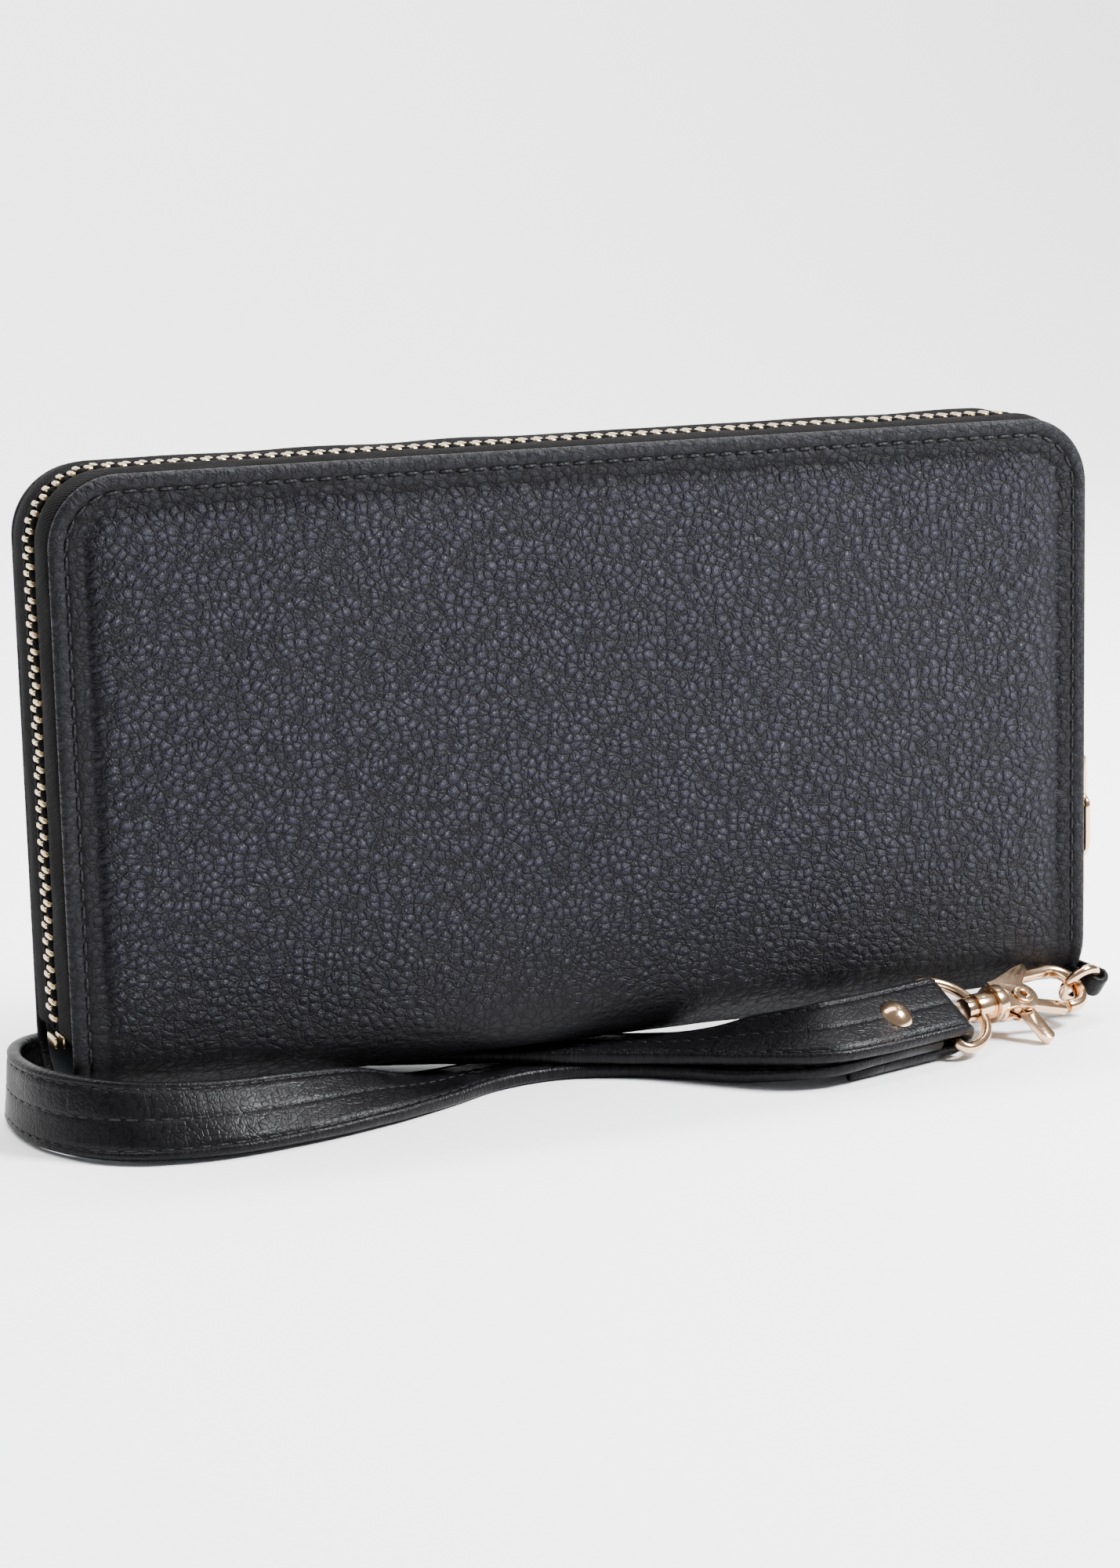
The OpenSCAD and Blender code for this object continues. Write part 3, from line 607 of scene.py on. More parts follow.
def cover_skin(side, name):
    """A cover's leather with its half of the roll: crowned outside, flat inside."""
    x, s, d = outline_grid()
    seed = 5 if side == FRONT else 11
    soft = ripple(x, s, seed, 30 * MM) * 0.11 * MM + ripple(x, s, seed + 1, 11 * MM) * 0.045 * MM
    wear = ripple(x, s * 0.2, seed + 2, 9 * MM) * 0.07 * MM * ridge(d, 0.5 * MM, 1.5 * MM)
    roll = ripple(x * 0.35, s, seed + 3, 5 * MM) * 0.08 * MM * smoothstep(6 * MM, -6 * MM, s)
    rise = pad_rise(x, s, d) + (soft * smoothstep(2 * MM, 9 * MM, d) + roll) + wear
    back = edge_round(d, LEATHER / 2)
    rise = rise * smoothstep(0, 0.7 * MM, d)
    outer = bent(side, x, s, rise - back)
    inner_rise = -LEATHER + back + np.clip(pad_rise(x, s, d), 0, None) * smoothstep(6 * MM, 9 * MM, d)
    inner = bent(side, x, s, inner_rise)
    piece = new_skin(name, [(outer, inner, x + side * 0.4, s)], COVER, margin=np.tile(d.ravel(), 2))
    return piece


def outline_length(inset, low):
    return 2 * (TOP - CORNER_R - low) + math.pi * (CORNER_R - inset) + 2 * (HALF_L - CORNER_R)


def outline_points(inset, low, walked):
    """x, z and outward direction at distances along the outline drawn in by inset, which runs from
    the lower left, over the top, to the lower right."""
    radius = CORNER_R - inset
    straight = TOP - CORNER_R - low
    arc = radius * math.pi / 2
    total = outline_length(inset, low)
    out = np.zeros((len(walked), 4))
    for k, w in enumerate(walked):
        side, near = (-1, w) if w < total / 2 else (1, total - w)
        if near < straight:
            x, z, out_x, out_z = HALF_L - inset, low + near, 1, 0
        elif near < straight + arc:
            a = (near - straight) / radius
            out_x, out_z = math.cos(a), math.sin(a)
            x, z = HALF_L - CORNER_R + radius * out_x, TOP - CORNER_R + radius * out_z
        else:
            x, z, out_x, out_z = HALF_L - CORNER_R - (near - straight - arc), TOP - inset, 0, 1
        out[k] = (side * x, z, side * out_x, out_z)
    return out


def outline_walk(inset, low, step):
    """Evenly spaced outline_points, about step apart, and their distances."""
    total = outline_length(inset, low)
    walked = np.linspace(0, total, max(2, round(total / step)) + 1)
    return outline_points(inset, low, walked), walked


STITCH_PITCH = 3.0 * MM
STITCH_LENGTH = 2.25 * MM
THREAD_W = 0.62 * MM


def cover_stitches(side, name):
    """The thread along the cover's margin."""
    walk = outline_walk(STITCH_INSET, LIFT + 8.5 * MM, STITCH_PITCH)[0]
    middle = (walk[:-1] + walk[1:]) / 2
    along = walk[1:, :2] - walk[:-1, :2]
    along = along / np.linalg.norm(along, axis=1, keepdims=True) * STITCH_LENGTH / 2

    def on_skin(xz):
        s = xz[:, 1] - FLAT_Z
        return bent(side, xz[:, 0], s, np.full(len(xz), -0.1 * MM))

    starts = on_skin(middle[:, :2] - along)
    ends = on_skin(middle[:, :2] + along)
    normals = np.tile((0.0, side, 0.0), (len(starts), 1))
    points, faces = capsules(starts, ends, normals, THREAD_W, 0.5 * MM)
    return new_piece(name, points, faces, THREAD, weld=False)


for side, half in HALVES:
    skin = cover_skin(side, half + "_cover_leather")
    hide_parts(half + "_cover", "spine_leather")
    thread = cover_stitches(side, half + "_cover_stitches")
    for piece in (skin, thread):
        if side == FRONT:
            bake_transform(piece)
        else:
            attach(piece, "back_half")

# ---------------- padding


def pad(side, half):
    """A crowned foam pad between the stiffener and the leather."""
    lo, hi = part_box(half + "_padding")
    half_x = (hi.x - lo.x) / 2
    steps = spread([0.0, half_x], 3 * MM)
    xs = np.concatenate([-steps[::-1], steps[1:]])
    zs = spread([lo.z, hi.z], 3 * MM)
    x, z = np.meshgrid(xs, zs)
    d = np.minimum(half_x - np.abs(x), np.minimum(z - lo.z, hi.z - z))
    swell = np.sin(np.clip(d / (5 * MM), 0, 1) * math.pi / 2)
    thick = (hi.y - lo.y)
    face = 0.35 * thick + 0.6 * thick * swell
    base = CY + side * (HALF_T - LEATHER + 0.05 * MM)
    outer = np.stack([CX + x, base + side * face, z], axis=-1)
    inner = np.stack([CX + x, np.full_like(x, base), z], axis=-1)
    piece = new_skin(half + "_foam_pad", [(outer, inner, x, z)], FOAM, half + "_half")
    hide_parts(half + "_padding")


for side, half in HALVES:
    pad(side, half)

# ---------------- zip

TEETH_Y = 2.6 * MM
TEETH_REACH = 0.55 * MM
TOOTH_PITCH = 2.8 * MM
TOOTH_L = 1.15 * MM
TOOTH_SHARP_ANGLE = math.radians(50)
TAPE_INSET = 0.2 * MM
ZIP_INSET = 0.5 * MM
ZIP_START = LIFT + 13 * MM
SLIDER_L = 10 * MM
SLIDER_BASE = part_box("zip_slider")[1].z - SLIDER_L
CHAIN_END = SLIDER_BASE + 4.6 * MM
TAPE_T = 0.5 * MM
TAPE_BULGE = 0.95 * MM
BEAD_RISE = 0.5 * MM
BEAD_Y = 1.75 * MM
BEAD_OUT = 0.5 * MM
BEAD_LENGTH = 1.75 * MM
BEAD_WIDTH = 1.7 * MM
BEAD_HEIGHT = 1.5 * MM
COVER_IN = HALF_T - LEATHER


def zip_tape(side, name, node, body, seed):
    """Woven tape that bulges a little between the teeth and the cover's edge."""
    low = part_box(node)[0].z
    walk, walked = outline_walk(TAPE_INSET, low, 1.6 * MM)
    depth = np.concatenate([[0.95, 1.1, 1.35, 1.7, 2.05, 2.4, 2.7, 3.1, 3.6, 4.3], np.linspace(5.2, 10.6, 8),
                            [11.1, 11.5, 11.9]]) * MM
    y, w = np.meshgrid(depth, walked)
    t = np.clip((y - TEETH_Y) / (COVER_IN - TEETH_Y), 0, 1)
    bulge = -0.15 * MM + TAPE_BULGE * np.sin(t * math.pi) ** 0.75
    bulge = bulge + BEAD_RISE * ridge(y, BEAD_Y, 0.62 * MM)
    bulge = bulge - 0.7 * MM * smoothstep(10.9 * MM, 11.9 * MM, y)
    bulge = bulge + ripple(w, y * 2, seed, 14 * MM) * 0.16 * MM * np.sin(t * math.pi)
    bulge = bulge * 0.55 + bulge * 0.45 * smoothstep(0, 12 * MM, np.minimum(w, walked[-1] - w))

    def lay(out):
        x = walk[:, 0][:, None] + walk[:, 2][:, None] * out
        z = walk[:, 1][:, None] + walk[:, 3][:, None] * out
        return np.stack([CX + x, CY + side * y, z], axis=-1)

    piece = new_skin(name, [(lay(bulge), lay(bulge - TAPE_T), w, y + side * 0.03)], TAPE, body)
    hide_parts(node)


def tooth_places(side):
    """Distances of one side's teeth along the outline, from the lower left end up to the slider."""
    chain = outline_length(ZIP_INSET, ZIP_START) - (CHAIN_END - ZIP_START)
    first = TOOTH_L if side == FRONT else TOOTH_L + TOOTH_PITCH / 2
    return np.arange(int(chain / TOOTH_PITCH)) * TOOTH_PITCH + first


def zip_teeth(side, name, node, body):
    """Cast teeth: a clamp over the tape's bead, a neck and a rounded head that meshes."""
    place = outline_points(ZIP_INSET, ZIP_START, tooth_places(side))
    half = [(-TEETH_Y, 0.4), (-1.9 * MM, 0.52), (-1.0 * MM, 0.52), (-0.5 * MM, 0.36), (0.1 * MM, 0.48),
            (0.4 * MM, 0.4), (TEETH_REACH, 0.2)]
    shape = [(y, a * MM) for y, a in half] + [(y, -a * MM) for y, a in half[::-1]]
    centre = sum(y for y, _ in half) / len(half)
    levels = [(-1.1 * MM, 0.8), (-0.85 * MM, 1.0), (0.72 * MM, 1.0), (0.98 * MM, 0.92), (1.1 * MM, 0.7)]
    points = []
    for out, scale in levels:
        for y, a in shape:
            yy = centre + (y - centre) * (0.5 + scale / 2)
            aa = a * scale
            x = place[:, 0] + place[:, 2] * out + place[:, 3] * aa
            z = place[:, 1] + place[:, 3] * out - place[:, 2] * aa
            points.append(np.stack([CX + x, np.full(len(x), CY - side * yy), z], axis=-1))
    points = np.stack(points, axis=1)
    faces = bar_faces(len(levels), len(shape), len(place))
    piece = new_piece(name, points.reshape(-1, 3), faces, PALE, body)
    piece.data.set_sharp_from_angle(angle=TOOTH_SHARP_ANGLE)
    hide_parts(node)


def tape_bead(side, name, body):
    """The tape's corded edge, which swells up between the clamped teeth."""
    gaps = tooth_places(side)[:-1] + TOOTH_PITCH / 2

    def on_edge(walked):
        place = outline_points(ZIP_INSET, ZIP_START, walked)
        x = CX + place[:, 0] + place[:, 2] * BEAD_OUT
        z = place[:, 1] + place[:, 3] * BEAD_OUT
        return np.stack([x, np.full(len(x), CY + side * BEAD_Y), z], axis=-1), place[:, 2:]

    starts, _ = on_edge(gaps - BEAD_LENGTH / 2)
    ends, _ = on_edge(gaps + BEAD_LENGTH / 2)
    outward = on_edge(gaps)[1]
    normals = np.stack([outward[:, 0], np.zeros(len(gaps)), outward[:, 1]], axis=-1)
    points, faces = capsules(starts, ends, normals, BEAD_WIDTH, BEAD_HEIGHT)
    piece = new_piece(name, points, faces, TAPE, body, weld=False)


def tape_ends():
    """Tape tucked into both ends of the spine below the fold."""
    low = LIFT + 3.2 * MM
    zs = spread([low, FOLD + 0.4 * MM], 0.9 * MM)
    slabs = []
    for end in (-1, 1):
        share = np.linspace(-1, 1, 25)
        y, z = np.meshgrid(share, zs)
        inner_r = ROLL_R - LEATHER - 0.35 * MM
        half = UNDER + np.sqrt(np.clip(inner_r ** 2 - np.clip(FLAT_Z - z, 0, None) ** 2, 0, None))
        half = np.minimum(half, COVER_IN - 0.6 * MM)
        depth = 5.5 * MM * (1 - smoothstep(low, FOLD + 0.4 * MM, z)) + 0.5 * MM * np.cos(y * 3 * math.pi) ** 2
        x = end * (HALF_L - TAPE_INSET - depth - 0.3 * MM)
        outer = np.stack([CX + x, CY + y * half, z], axis=-1)
        inner = outer - np.array([end * TAPE_T, 0, 0])
        slabs.append((outer, inner, y * half, z))
    piece = new_skin("zip_tape_tucked_ends", slabs, TAPE, "back_half")
    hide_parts("zip_tape_ends")


zip_tape(FRONT, "front_zip_tape", "zip_tape_front", "front_half", 21)
zip_tape(BACK, "back_zip_tape", "zip_tape_rear", "back_half", 34)
zip_teeth(FRONT, "front_zip_teeth", "zip_teeth_front", "front_half")
zip_teeth(BACK, "back_zip_teeth", "zip_teeth_rear", "back_half")
tape_bead(FRONT, "front_tape_bead", "front_half")
tape_bead(BACK, "back_tape_bead", "back_half")
tape_ends()

# ---------------- strap

STRAP_W = 13 * MM
STRAP_T = 2.5 * MM
STRAP_LAYER = 2.6 * MM
MID_W = -STRAP_T / 2 - STRAP_LAYER
BAR_U = 12 * MM
TAIL_U = -12 * MM
END_POS = np.array([47, -30.5, 10.1]) * MM
END_TURN = math.radians(16)
END_TILT = math.radians(35)
AXIS_U = np.array([math.cos(END_TURN), math.sin(END_TURN), 0])
AXIS_V = np.array([-math.sin(END_TURN) * math.cos(END_TILT), math.cos(END_TURN) * math.cos(END_TILT),
                   math.sin(END_TILT)])
AXIS_W = np.cross(AXIS_U, AXIS_V)
# The strap's middle line from the fold, round the left end and back: x, y, z and tilt of its face.
STRAP_ROUTE = [
    (31, -31.7, 6.3, 33), (22, -25, 4.2, 24), (13, -14.5, 1.8, 4), (4, -8, 1.3, 0), (-8, -4, 1.3, 0),
    (-22, -6, 1.3, 0), (-34, -12.5, 2.3, 9), (-46, -19, 4.5, 30), (-60, -24, 5.6, 44),
    (-76, -26.5, 6.2, 54), (-90, -23, 6.7, 68), (-99, -12, 6.9, 82), (-101.5, 2, 6.9, 88),
    (-97.5, 14, 6.8, 78), (-86, 20.5, 6.3, 62), (-70, 21, 5.8, 48), (-54, 17, 4.9, 32),
    (-40, 12, 3.3, 10), (-27, 6.5, 4, 0), (-15, 1, 4, 0), (-5, -4, 4, 0), (4, -8.7, 4, 0),
    (13, -14.8, 4.5, -4), (22, -24.8, 7.2, -23), (31, -32.7, 9, -33),
]
STRAP_STITCH_PITCH = 2.7 * MM
STRAP_STITCH = 1.95 * MM
ROUTE_STEPS = 6
FOLD_STEPS = 10


def at_end(u=0.0, v=0.0, w=0.0):
    """A place in the strap end's own axes, from the wallet's centre."""
    return END_POS + u * AXIS_U + v * AXIS_V + w * AXIS_W


def unit(v):
    return v / np.linalg.norm(v)


def between(a, b, c, d, t):
    """The smooth curve's point at share t of the way from b to c, with neighbours a and d."""
    return (2 * b + (c - a) * t + (2 * a - 5 * b + 4 * c - d) * t * t + (3 * b - a - 3 * c + d) * t ** 3) / 2


def strap_frames():
    """Centre, width direction and face direction of each ring along the strap."""
    tilt = math.degrees(END_TILT)
    line = [np.append(at_end(u * MM, 0, MID_W), tilt) for u in (8, -5)]
    line += [np.array([x * MM, y * MM, z * MM, a]) for x, y, z, a in STRAP_ROUTE]
    line += [np.append(at_end(u * MM, 0, -STRAP_T / 2), -tilt) for u in (-5, 8)]
    route = [line[0]]
    for i in range(1, len(line) - 2):
        route += [between(*line[i - 1:i + 3], k / ROUTE_STEPS) for k in range(ROUTE_STEPS)]
    route += line[-2:]
    frames = []
    for i, place in enumerate(route):
        heading = unit(route[min(i + 1, len(route) - 1)][:3] - route[max(i - 1, 0)][:3])
        angle = math.radians(place[3])
        right = unit(np.array([heading[1], -heading[0], 0])) * math.cos(angle)
        right[2] += math.sin(angle)
        width = unit(right - heading * right.dot(heading))
        frames.append((place[:3], width, np.cross(heading, width)))
    for k in range(FOLD_STEPS + 1):
        a = math.pi / 2 - math.pi * k / FOLD_STEPS
        centre = at_end(BAR_U + STRAP_LAYER * math.cos(a), 0, MID_W + STRAP_LAYER * math.sin(a))
        heading = math.sin(a) * AXIS_U - math.cos(a) * AXIS_W
        frames.append((centre, -AXIS_V, np.cross(heading, -AXIS_V)))
    for u in (6, 0, -6, TAIL_U / MM):
        frames.append((at_end(u * MM, 0, MID_W - STRAP_LAYER), -AXIS_V, np.cross(-AXIS_U, -AXIS_V)))
    out = []
    for centre, width, normal in frames:
        rest_z = abs(width[2]) * STRAP_W / 2 + abs(normal[2]) * STRAP_T / 2
        centre = np.array([CX + centre[0], CY + centre[1], max(centre[2], rest_z)])
        out.append((centre, width, normal))
    return [np.array(v) for v in zip(*out)]


STRAP_EDGE = STRAP_W / 2 - 1.45 * MM
STRAP_ACROSS = np.array([-6.5, -6.42, -6.2, -5.8, -5.35, -5.15, -5.05, -4.95, -4.7, -3.9, -2.4, -1.0, -0.3,
                         0.0]) * MM
STRAP_ACROSS = np.concatenate([STRAP_ACROSS, -STRAP_ACROSS[-2::-1]])


def strap_rise(a):
    """Half thickness of the strap at distance a across it."""
    edge = np.clip(STRAP_W / 2 - np.abs(a), 0, 0.8 * MM) / (0.8 * MM)
    body = STRAP_T / 2 * (0.25 + 0.75 * np.sqrt(1 - (1 - edge) ** 2))
    seam = 0.3 * MM * ridge(np.abs(a), STRAP_EDGE, 0.26 * MM)
    middle = 0.2 * MM * ridge(a, 0.0, 0.3 * MM)
    hollow = 0.12 * MM * ridge(np.abs(a), 2.6 * MM, 1.6 * MM)
    return body - seam - middle - 0.1 * MM + 0.1 * MM * edge - hollow * 0.5


def strap_band():
    """The strap's skin and its three rows of stitches on both faces."""
    centre, width, normal = strap_frames()
    run = distances(centre)
    a = STRAP_ACROSS
    rise = strap_rise(a)
    top = centre[:, None] + width[:, None] * a[None, :, None] + normal[:, None] * rise[None, :, None]
    low = centre[:, None] + width[:, None] * a[None, :, None] - normal[:, None] * rise[None, :, None]
    r, across = np.meshgrid(run, a, indexing="ij")
    puff = (ripple(r, across * 3, 51, 9 * MM) * 0.05 * MM)[..., None] * normal[:, None]
    piece = new_skin("wrist_strap", [(top + puff, low + puff, r, across)], STRAP, "back_half")
    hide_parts("strap")

    stops = np.arange(1.6 * MM, run[-1] - 1.5 * MM, STRAP_STITCH_PITCH)
    starts, ends, normals = [], [], []
    for seam_a in (-STRAP_EDGE, 0.0, STRAP_EDGE):
        height = float(strap_rise(np.array([seam_a]))[0])
        for face in (-1, 1):
            for stop in stops:
                pair = []
                for where in (stop, stop + STRAP_STITCH):
                    c, wd, nm = (np.array([np.interp(where, run, v[:, k]) for k in range(3)])
                                 for v in (centre, width, normal))
                    nm = unit(nm)
                    pair.append(c + unit(wd) * seam_a + nm * face * (height + 0.06 * MM))
                starts.append(pair[0])
                ends.append(pair[1])
                normals.append(nm * face)
    points, faces = capsules(starts, ends, normals, 0.5 * MM, 0.36 * MM)
    new_piece("wrist_strap_stitches", points, faces, THREAD, "back_half", weld=False)


strap_band()

# ---------------- side tab


SIDE_RING_R = 3.6 * MM
TAB_REACH = 1.8 * MM
TAB_APART = 0.65 * MM
TAB_HALF_W = 2.1 * MM


def side_tab():
    """A strip of leather folded round the side ring, with both ends sewn into the spine."""
    lo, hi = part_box("side_ring")
    ring_lo = np.array([lo.x - CX, lo.y - CY, lo.z])
    ring_hi = np.array([hi.x - CX, hi.y - CY, hi.z])
    middle = (ring_lo + ring_hi) / 2
    centre_u = float((middle - at_end(0, 0, MID_W)).dot(AXIS_U))
    bar = at_end(centre_u + SIDE_RING_R, 0, MID_W)
    root = np.array([HALF_L - 4.7 * MM, -2 * MM, LIFT + 4.6 * MM])
    toward = root - bar
    phi = math.atan2(toward.dot(AXIS_V), toward.dot(AXIS_U)) + math.pi / 2

    def radial(angle):
        return math.cos(angle) * AXIS_U + math.sin(angle) * AXIS_V

    def straight(turn, shares):
        """One of the two runs between the spine and the ring's wire."""
        start, stop = root + turn * TAB_APART, bar + turn * TAB_REACH
        return [(start + (stop - start) * t, turn) for t in shares]

    shares = np.linspace(0, 1, 9)
    route = straight(radial(phi), shares[:-1])
    route += [(bar + out * TAB_REACH, out) for out in map(radial, phi + math.pi * np.linspace(0, 1, 15))]
    route += straight(-radial(phi), shares[-2::-1])
    path, out_dir = (np.array(v) for v in zip(*route))
    across = np.array([-1, -0.96, -0.8, -0.4, 0, 0.4, 0.8, 0.96, 1.0])
    thick = 0.5 * MM * np.array([0.35, 0.75, 1, 1, 1, 1, 1, 0.75, 0.35])
    side = AXIS_W * TAB_HALF_W
    base = path[:, None] + side[None, None] * across[None, :, None]
    shift = np.array([CX, CY, 0])
    outer = base + out_dir[:, None] * thick[None, :, None] + shift
    inner = base - out_dir[:, None] * thick[None, :, None] + shift
    run = distances(path)
    u, v = np.meshgrid(run, across * TAB_HALF_W, indexing="ij")
    piece = new_skin("side_tab_leather", [(outer, inner, u, v)], STRAP, "back_half")
    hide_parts("side_tab")


side_tab()

# ---------------- inside


SHEET_STEP = 3 * MM
LEAF_STEP = 2.5 * MM
LINING_CORNER_R = 10.5 * MM


def swept_sheet(name, node, path, normal, x0, x1, thick, body, seed, sway=0.0, radius=0.0):
    """Lining cloth that follows a path in Y and Z, along X, with softly uneven faces."""
    path, normal = np.array(path, float), np.array(normal, float)
    run = distances(path)
    xs = edged(x0, x1, SHEET_STEP)
    x, r = np.meshgrid(xs, run)
    if radius:
        top = path[:, 1].max()
        drop = np.clip(radius - (top - path[:, 1]), 0, None)
        pull = radius - np.sqrt(np.clip(radius ** 2 - drop ** 2, 0, None))
        middle, half = (x0 + x1) / 2, (x1 - x0) / 2
        x = middle + (x - middle) * ((half - pull) / half)[:, None]
    wave = ripple(x, r, seed, 22 * MM) * sway * MM
    edge = np.minimum(np.minimum(x - x.min(), x.max() - x), np.minimum(r, run[-1] - r))
    half_t = thick / 2 * (0.55 + 0.45 * smoothstep(0, 0.6 * MM, edge))
    wave = wave * smoothstep(0, 4 * MM, edge)

    def lay(out):
        y = path[:, 0][:, None] + normal[:, 0][:, None] * out
        z = path[:, 1][:, None] + normal[:, 1][:, None] * out
        return np.stack([CX + x, CY + y, z], axis=-1)

    piece = new_skin(name, [(lay(wave + half_t), lay(wave - half_t), x, r)], LINING, body)
    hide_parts(node)


def flat_leaf(node, body, seed, sway=0.0, radius=0.0):
    """The cloth of a node that stands as a flat leaf."""
    lo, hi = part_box(node)
    y = (lo.y + hi.y) / 2 - CY
    path = [(y, z) for z in edged(lo.z, hi.z, LEAF_STEP)]
    swept_sheet(node + "_cloth", node, path, [(1.0, 0.0)] * len(path), lo.x - CX, hi.x - CX, hi.y - lo.y,
                body, seed, sway, radius)


def trough_path(inset, top):
    """The round-bottomed path of the spine at an inset, from the front top to the back top."""
    radius = ROLL_R - inset
    path, normal = [], []
    for z in spread([top, FLAT_Z], 0.7 * MM)[:-1]:
        path.append((-(UNDER + radius), z))
        normal.append((-1.0, 0.0))
    for a in np.linspace(math.pi, 1.5 * math.pi, 13):
        path.append((-UNDER + radius * math.cos(a), FLAT_Z + radius * math.sin(a)))
        normal.append((math.cos(a), math.sin(a)))
    mirrored = [(-y, z) for y, z in path[::-1]]
    return path + mirrored, normal + [(-a, b) for a, b in normal[::-1]]


for side, half in HALVES:
    flat_leaf(half + "_lining", half + "_half", 60 + side, radius=LINING_CORNER_R)

lining_lo, lining_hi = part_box("spine_lining")
path, normal = trough_path(LEATHER + 0.3 * MM, lining_hi.z)
swept_sheet("spine_lining_cloth", "spine_lining", path, normal, lining_lo.x - CX, lining_hi.x - CX, 0.45 * MM,
            "back_half", 70)


SLOT_GAP = 1.5 * MM
SLOT_TURN = 3 * MM
SLOT_LAP = 2.8 * MM
SLOT_STITCH_PITCH = 2.6 * MM
SLOT_STITCH = 1.9 * MM


def card_slots(side, half):
    """Four stepped leather leaves on each side of a cover, each with a turned top edge and stitches."""
    body = half + "_half"
    faces_y, lit_domes_shaded_creases, bottoms = [], [], []
    for number in range(1, 5):
        node = f"{half}_card_slot_{number}"
        lo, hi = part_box(node)
        y = (lo.y + hi.y) / 2 - CY
        thick = hi.y - lo.y
        turn_z, lap_z = hi.z - SLOT_TURN, hi.z - SLOT_LAP
        zs = spread([lo.z, lo.z + EDGE_STEP, turn_z, lap_z, hi.z - EDGE_STEP, hi.z], LEAF_STEP)
        half_x = (hi.x - lo.x) / 2
        slabs = []
        for x0, x1 in ((-half_x, -SLOT_GAP), (SLOT_GAP, half_x)):
            xs = edged(x0, x1, SHEET_STEP)
            x, z = np.meshgrid(xs, zs)
            edge = np.minimum(np.minimum(x - x0, x1 - x), np.minimum(z - zs[0], zs[-1] - z))
            half_t = thick / 2 * (0.5 + 0.35 * smoothstep(0, 0.35 * MM, edge)
                                  + 0.15 * smoothstep(turn_z, lap_z, z))
            outer = np.stack([CX + x, CY + y - side * half_t, z], axis=-1)
            inner = np.stack([CX + x, np.full_like(x, CY + y + side * thick * 0.45), z], axis=-1)
            slabs.append((outer, inner, x, z))
        piece = new_skin(f"{half}_slot_leather_{number}", slabs, SLOT, body)
        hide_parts(node)
        faces_y.append(y - side * thick / 2)
        lit_domes_shaded_creases.append(hi.z)
        bottoms.append(lo.z)
    starts, ends = [], []
    for k, (y, top) in enumerate(zip(faces_y, lit_domes_shaded_creases)):
        low = lit_domes_shaded_creases[k + 1] + 0.5 * MM if k < 3 else bottoms[k] + 1.5 * MM
        for x in (-84.2 * MM, -2.8 * MM, 2.8 * MM, 84.2 * MM):
            for z in np.arange(low, top - 2.4 * MM, SLOT_STITCH_PITCH):
                starts.append((CX + x, CY + y, z))
                ends.append((CX + x, CY + y, z + SLOT_STITCH))
        seam_z = top - 2.2 * MM
        for x0 in (-84 * MM, 3 * MM):
            for x in np.arange(x0, x0 + 79.5 * MM, SLOT_STITCH_PITCH):
                starts.append((CX + x, CY + y, seam_z))
                ends.append((CX + x + SLOT_STITCH, CY + y, seam_z))
    normals = np.tile((0.0, -side, 0.0), (len(starts), 1))
    points, faces = capsules(starts, ends, normals, 0.4 * MM, 0.2 * MM)
    new_piece(half + "_slot_stitches", points, faces, THREAD, body, weld=False)


for side, half in HALVES:
    card_slots(side, half)

for node, body, seed in (("divider_front", "divider_front_leaf", 80),
                         ("divider_rear", "divider_rear_leaf", 82),
                         ("coin_pocket_front", "coin_pocket", 84)):
    flat_leaf(node, body, seed, sway=0.1)

# The coin pocket's rear leaf runs down, round a small fold and on as the pocket's bottom.
POCKET_FOLD_R = 1.2 * MM
pocket_lo, pocket_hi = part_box("coin_pocket_front")
rear_lo, rear_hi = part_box("coin_pocket_rear")
pocket_t = pocket_hi.y - pocket_lo.y
leaf_y = rear_hi.y - CY - pocket_t / 2
fold_y = leaf_y - POCKET_FOLD_R
bottom_z = rear_lo.z + pocket_t / 2
fold_z = bottom_z + POCKET_FOLD_R
path = [(leaf_y, z) for z in spread([rear_hi.z, fold_z], LEAF_STEP)]
normal = [(1.0, 0.0)] * len(path)
for a in np.linspace(0, math.pi / 2, 6)[1:]:
    path.append((fold_y + POCKET_FOLD_R * math.cos(a), fold_z - POCKET_FOLD_R * math.sin(a)))
    normal.append((math.cos(a), -math.sin(a)))
for y in spread([fold_y, -leaf_y], 1.0 * MM)[1:]:
    path.append((y, bottom_z))
    normal.append((0.0, -1.0))
swept_sheet("coin_pocket_rear_cloth", "coin_pocket_rear", path, normal, rear_lo.x - CX, rear_hi.x - CX,
            pocket_t, "coin_pocket", 86)


def coin_tape():
    """Both strips of the coin pocket's tape, each with a corded edge."""
    lo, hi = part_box("coin_zip_tape")
    slabs = []
    z = (lo.z + hi.z) / 2
    for side in (-1, 1):
        ys = np.linspace(1.1, 2.7, 9) * MM
        xs = spread([lo.x, hi.x], 3 * MM)
        x, y = np.meshgrid(xs, ys)
        bead = 0.3 * MM + 0.12 * MM * ridge(y, 1.45 * MM, 0.25 * MM)
        bead = bead * (0.5 + 0.5 * smoothstep(0, 0.25 * MM, np.minimum(y - ys[0], ys[-1] - y)))
        outer = np.stack([x, CY + side * y, z + bead], axis=-1)
        inner = np.stack([x, CY + side * y, z - bead], axis=-1)
        slabs.append((outer, inner, x, y))
    piece = new_skin("coin_zip_tape_cloth", slabs, TAPE, "coin_pocket")
    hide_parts("coin_zip_tape")


coin_tape()


GUSSET_IN = 85.3 * MM
GUSSET_OUT = 91 * MM
GUSSET_FOLDS = 6


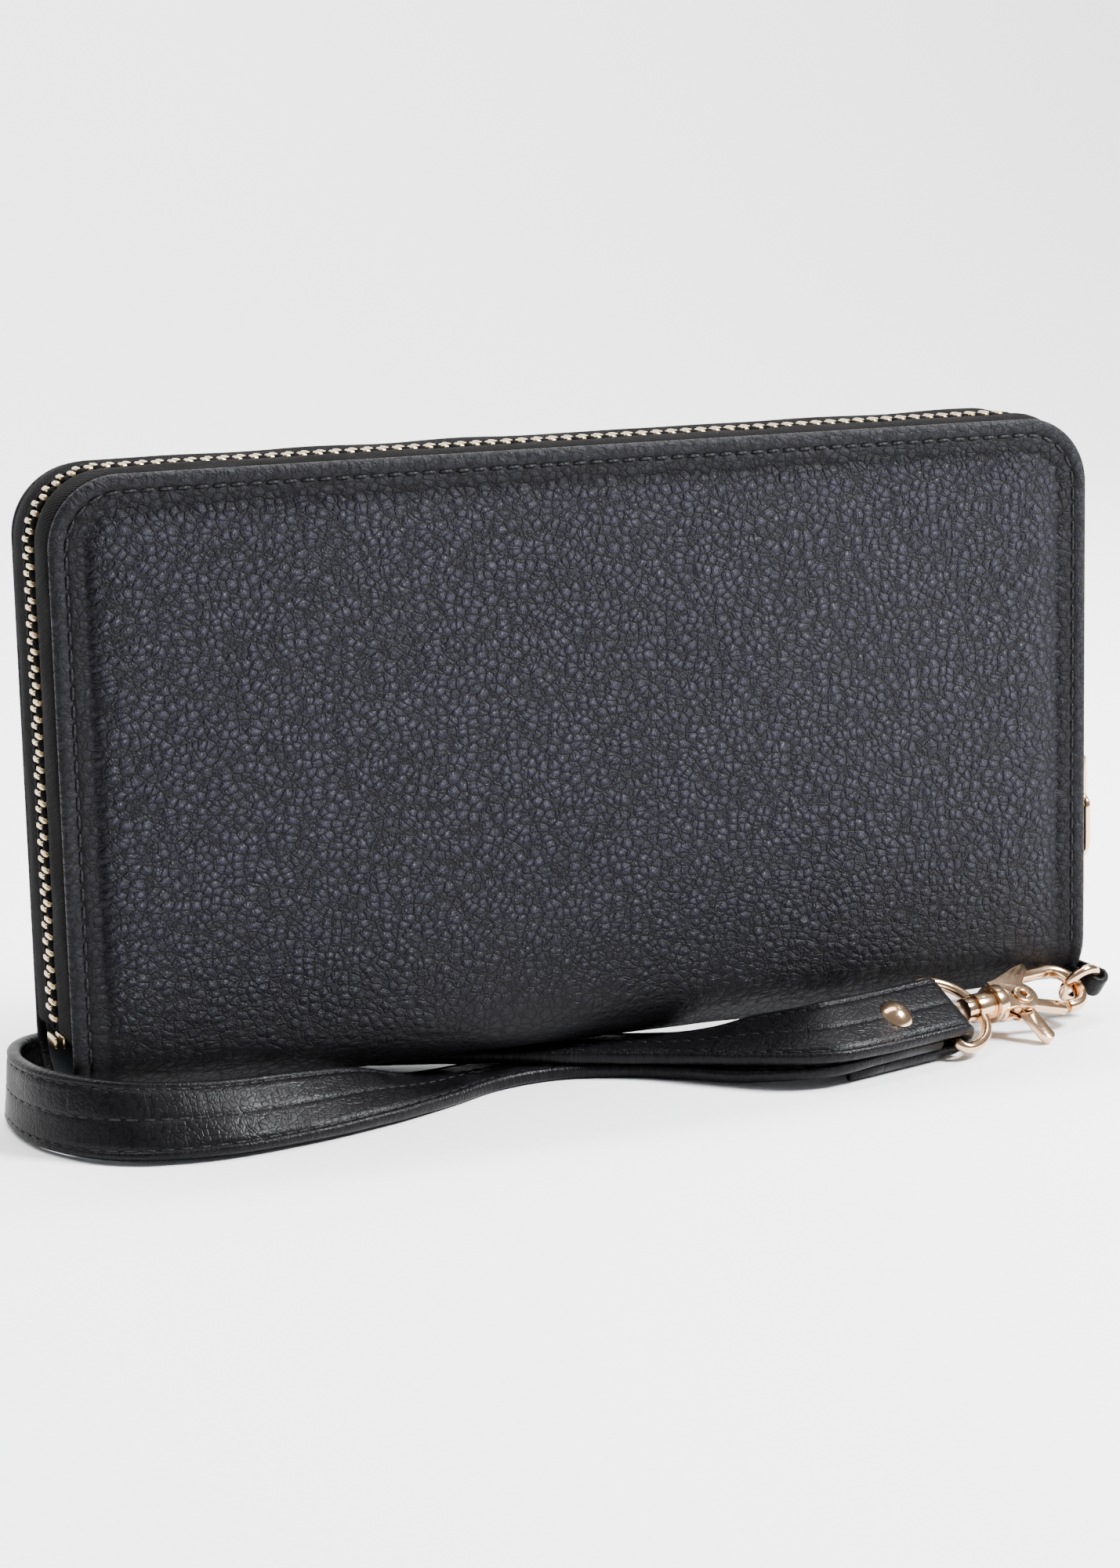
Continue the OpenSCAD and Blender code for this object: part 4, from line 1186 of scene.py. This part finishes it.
def gusset(node, end):
    """A cloth bellows between the two linings."""
    lo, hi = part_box(node)
    reach = (hi.y - lo.y) / 2
    ys = np.linspace(-reach, reach, 49)
    wave = np.cos((ys + reach) / (2 * reach) * GUSSET_FOLDS * math.pi)
    middle, swing = (GUSSET_IN + GUSSET_OUT) / 2, (GUSSET_OUT - GUSSET_IN) / 2
    fold = middle + swing * np.sign(wave) * np.abs(wave) ** 0.8
    zs = spread([lo.z, hi.z], LEAF_STEP)
    y, z = np.meshgrid(ys, zs)
    x = np.tile(fold, (len(zs), 1))
    thick = 0.17 * MM
    slope = np.gradient(fold, ys)
    nx = 1 / np.sqrt(1 + slope ** 2)
    ny = -slope * nx
    outer = np.stack([CX + end * (x + nx * thick), CY + y + ny * thick, z], axis=-1)
    inner = np.stack([CX + end * (x - nx * thick), CY + y - ny * thick, z], axis=-1)
    run = np.concatenate([[0], np.cumsum(np.hypot(np.diff(fold), np.diff(ys)))])
    r, zz = np.meshgrid(run, zs)
    piece = new_skin(node + "_cloth", [(outer, inner, r, zz)], LINING)
    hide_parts(node)
    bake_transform(piece)


gusset("gusset_right", 1)
gusset("gusset_left", -1)

# ---------------- metal

# Width in mm of each metal node's rounded edges, and its metal.
METAL_EDGES = {
    "clasp_body": (0.22, GOLD), "clasp_gate": (0.3, GOLD), "gate_pin": (0.14, GOLD),
    "strap_ring": (0.2, GOLD), "zip_slider": (0.22, GOLD), "pull_tab": (0.22, GOLD),
    "zip_stop_front": (0.3, PALE), "zip_stops_rear": (0.25, PALE), "coin_zip_slider": (0.18, GOLD),
    "coin_zip_pull": (0.16, GOLD), "coin_zip_teeth": (0.16, PALE),
}
for node, (width, material) in METAL_EDGES.items():
    softened(node, width * MM, material)

CAD_FINISH = {
    "pull_ring": GOLD, "side_ring": GOLD, "strap_rivet_cap": GOLD, "strap_rivet_post": GOLD,
    "gate_spring": STEEL, "front_board": BOARD, "back_board": BOARD,
}
for node, material in CAD_FINISH.items():
    mesh = frame["nodes"][node].data
    mesh.materials.clear()
    mesh.materials.append(material)

# ---------------- studio


def studio_floor():
    """A pale floor that curves up into a backdrop."""
    s = Shader("pale_paper")
    grain = s.noise(900.0, 3.0, s.solid())
    paper = s.set(Base_Color=s.ramp(grain, (0.3, (0.86, 0.86, 0.86)), (0.7, (0.9, 0.9, 0.9))),
                  Roughness=0.85, Normal=s.bump(grain, 0.00003))
    path = [(-2.5, 0.0), (0.9, 0.0)]
    path += [(0.9 + 0.6 * math.sin(a), 0.6 - 0.6 * math.cos(a)) for a in np.linspace(0.1, math.pi / 2, 14)]
    path.append((1.5, 3.0))
    xs = np.linspace(-3, 3, 9)
    points = [(x, y, z) for y, z in path for x in xs]
    floor = new_piece("studio_floor", points, grid_faces(len(path), len(xs)), paper, weld=False)


def area_light(name, place, target, size, power, tint):
    data = bpy.data.lights.new(name, "AREA")
    data.shape = "RECTANGLE"
    data.size, data.size_y = size
    data.energy = power
    data.color = tint
    light = bpy.data.objects.new(name, data)
    light.location = place
    light.rotation_euler = (Vector(target) - Vector(place)).to_track_quat("-Z", "Y").to_euler()
    bpy.context.scene.collection.objects.link(light)


MIDDLE = (0, 0, 0.06)
# Name, place, target, size in metres, watts and tint.
LIGHTS = (
    ("key_right", (0.6, -0.38, 0.68), MIDDLE, (0.3, 0.24), 42.0, (0.95, 0.96, 1.0)),
    ("rim_left", (-0.9, -0.25, 0.5), MIDDLE, (0.35, 0.6), 0.6, (1.0, 0.98, 0.96)),
    ("top_soft", (0.0, 0.2, 1.1), MIDDLE, (1.0, 0.7), 20.0, (1.0, 1.0, 1.0)),
    ("backdrop_wash", (0.0, 0.45, 1.5), (0.0, 1.3, 0.3), (2.4, 0.3), 70.0, (1.0, 1.0, 1.0)),
)
AIR_TINT = (0.9, 0.94, 1.0, 1.0)
AIR_STRENGTH = 0.34

studio_floor()
for light in LIGHTS:
    area_light(*light)

world = bpy.data.worlds.new("studio_air")
bpy.context.scene.world = world
world.use_nodes = True
world.node_tree.nodes["Background"].inputs["Color"].default_value = AIR_TINT
world.node_tree.nodes["Background"].inputs["Strength"].default_value = AIR_STRENGTH
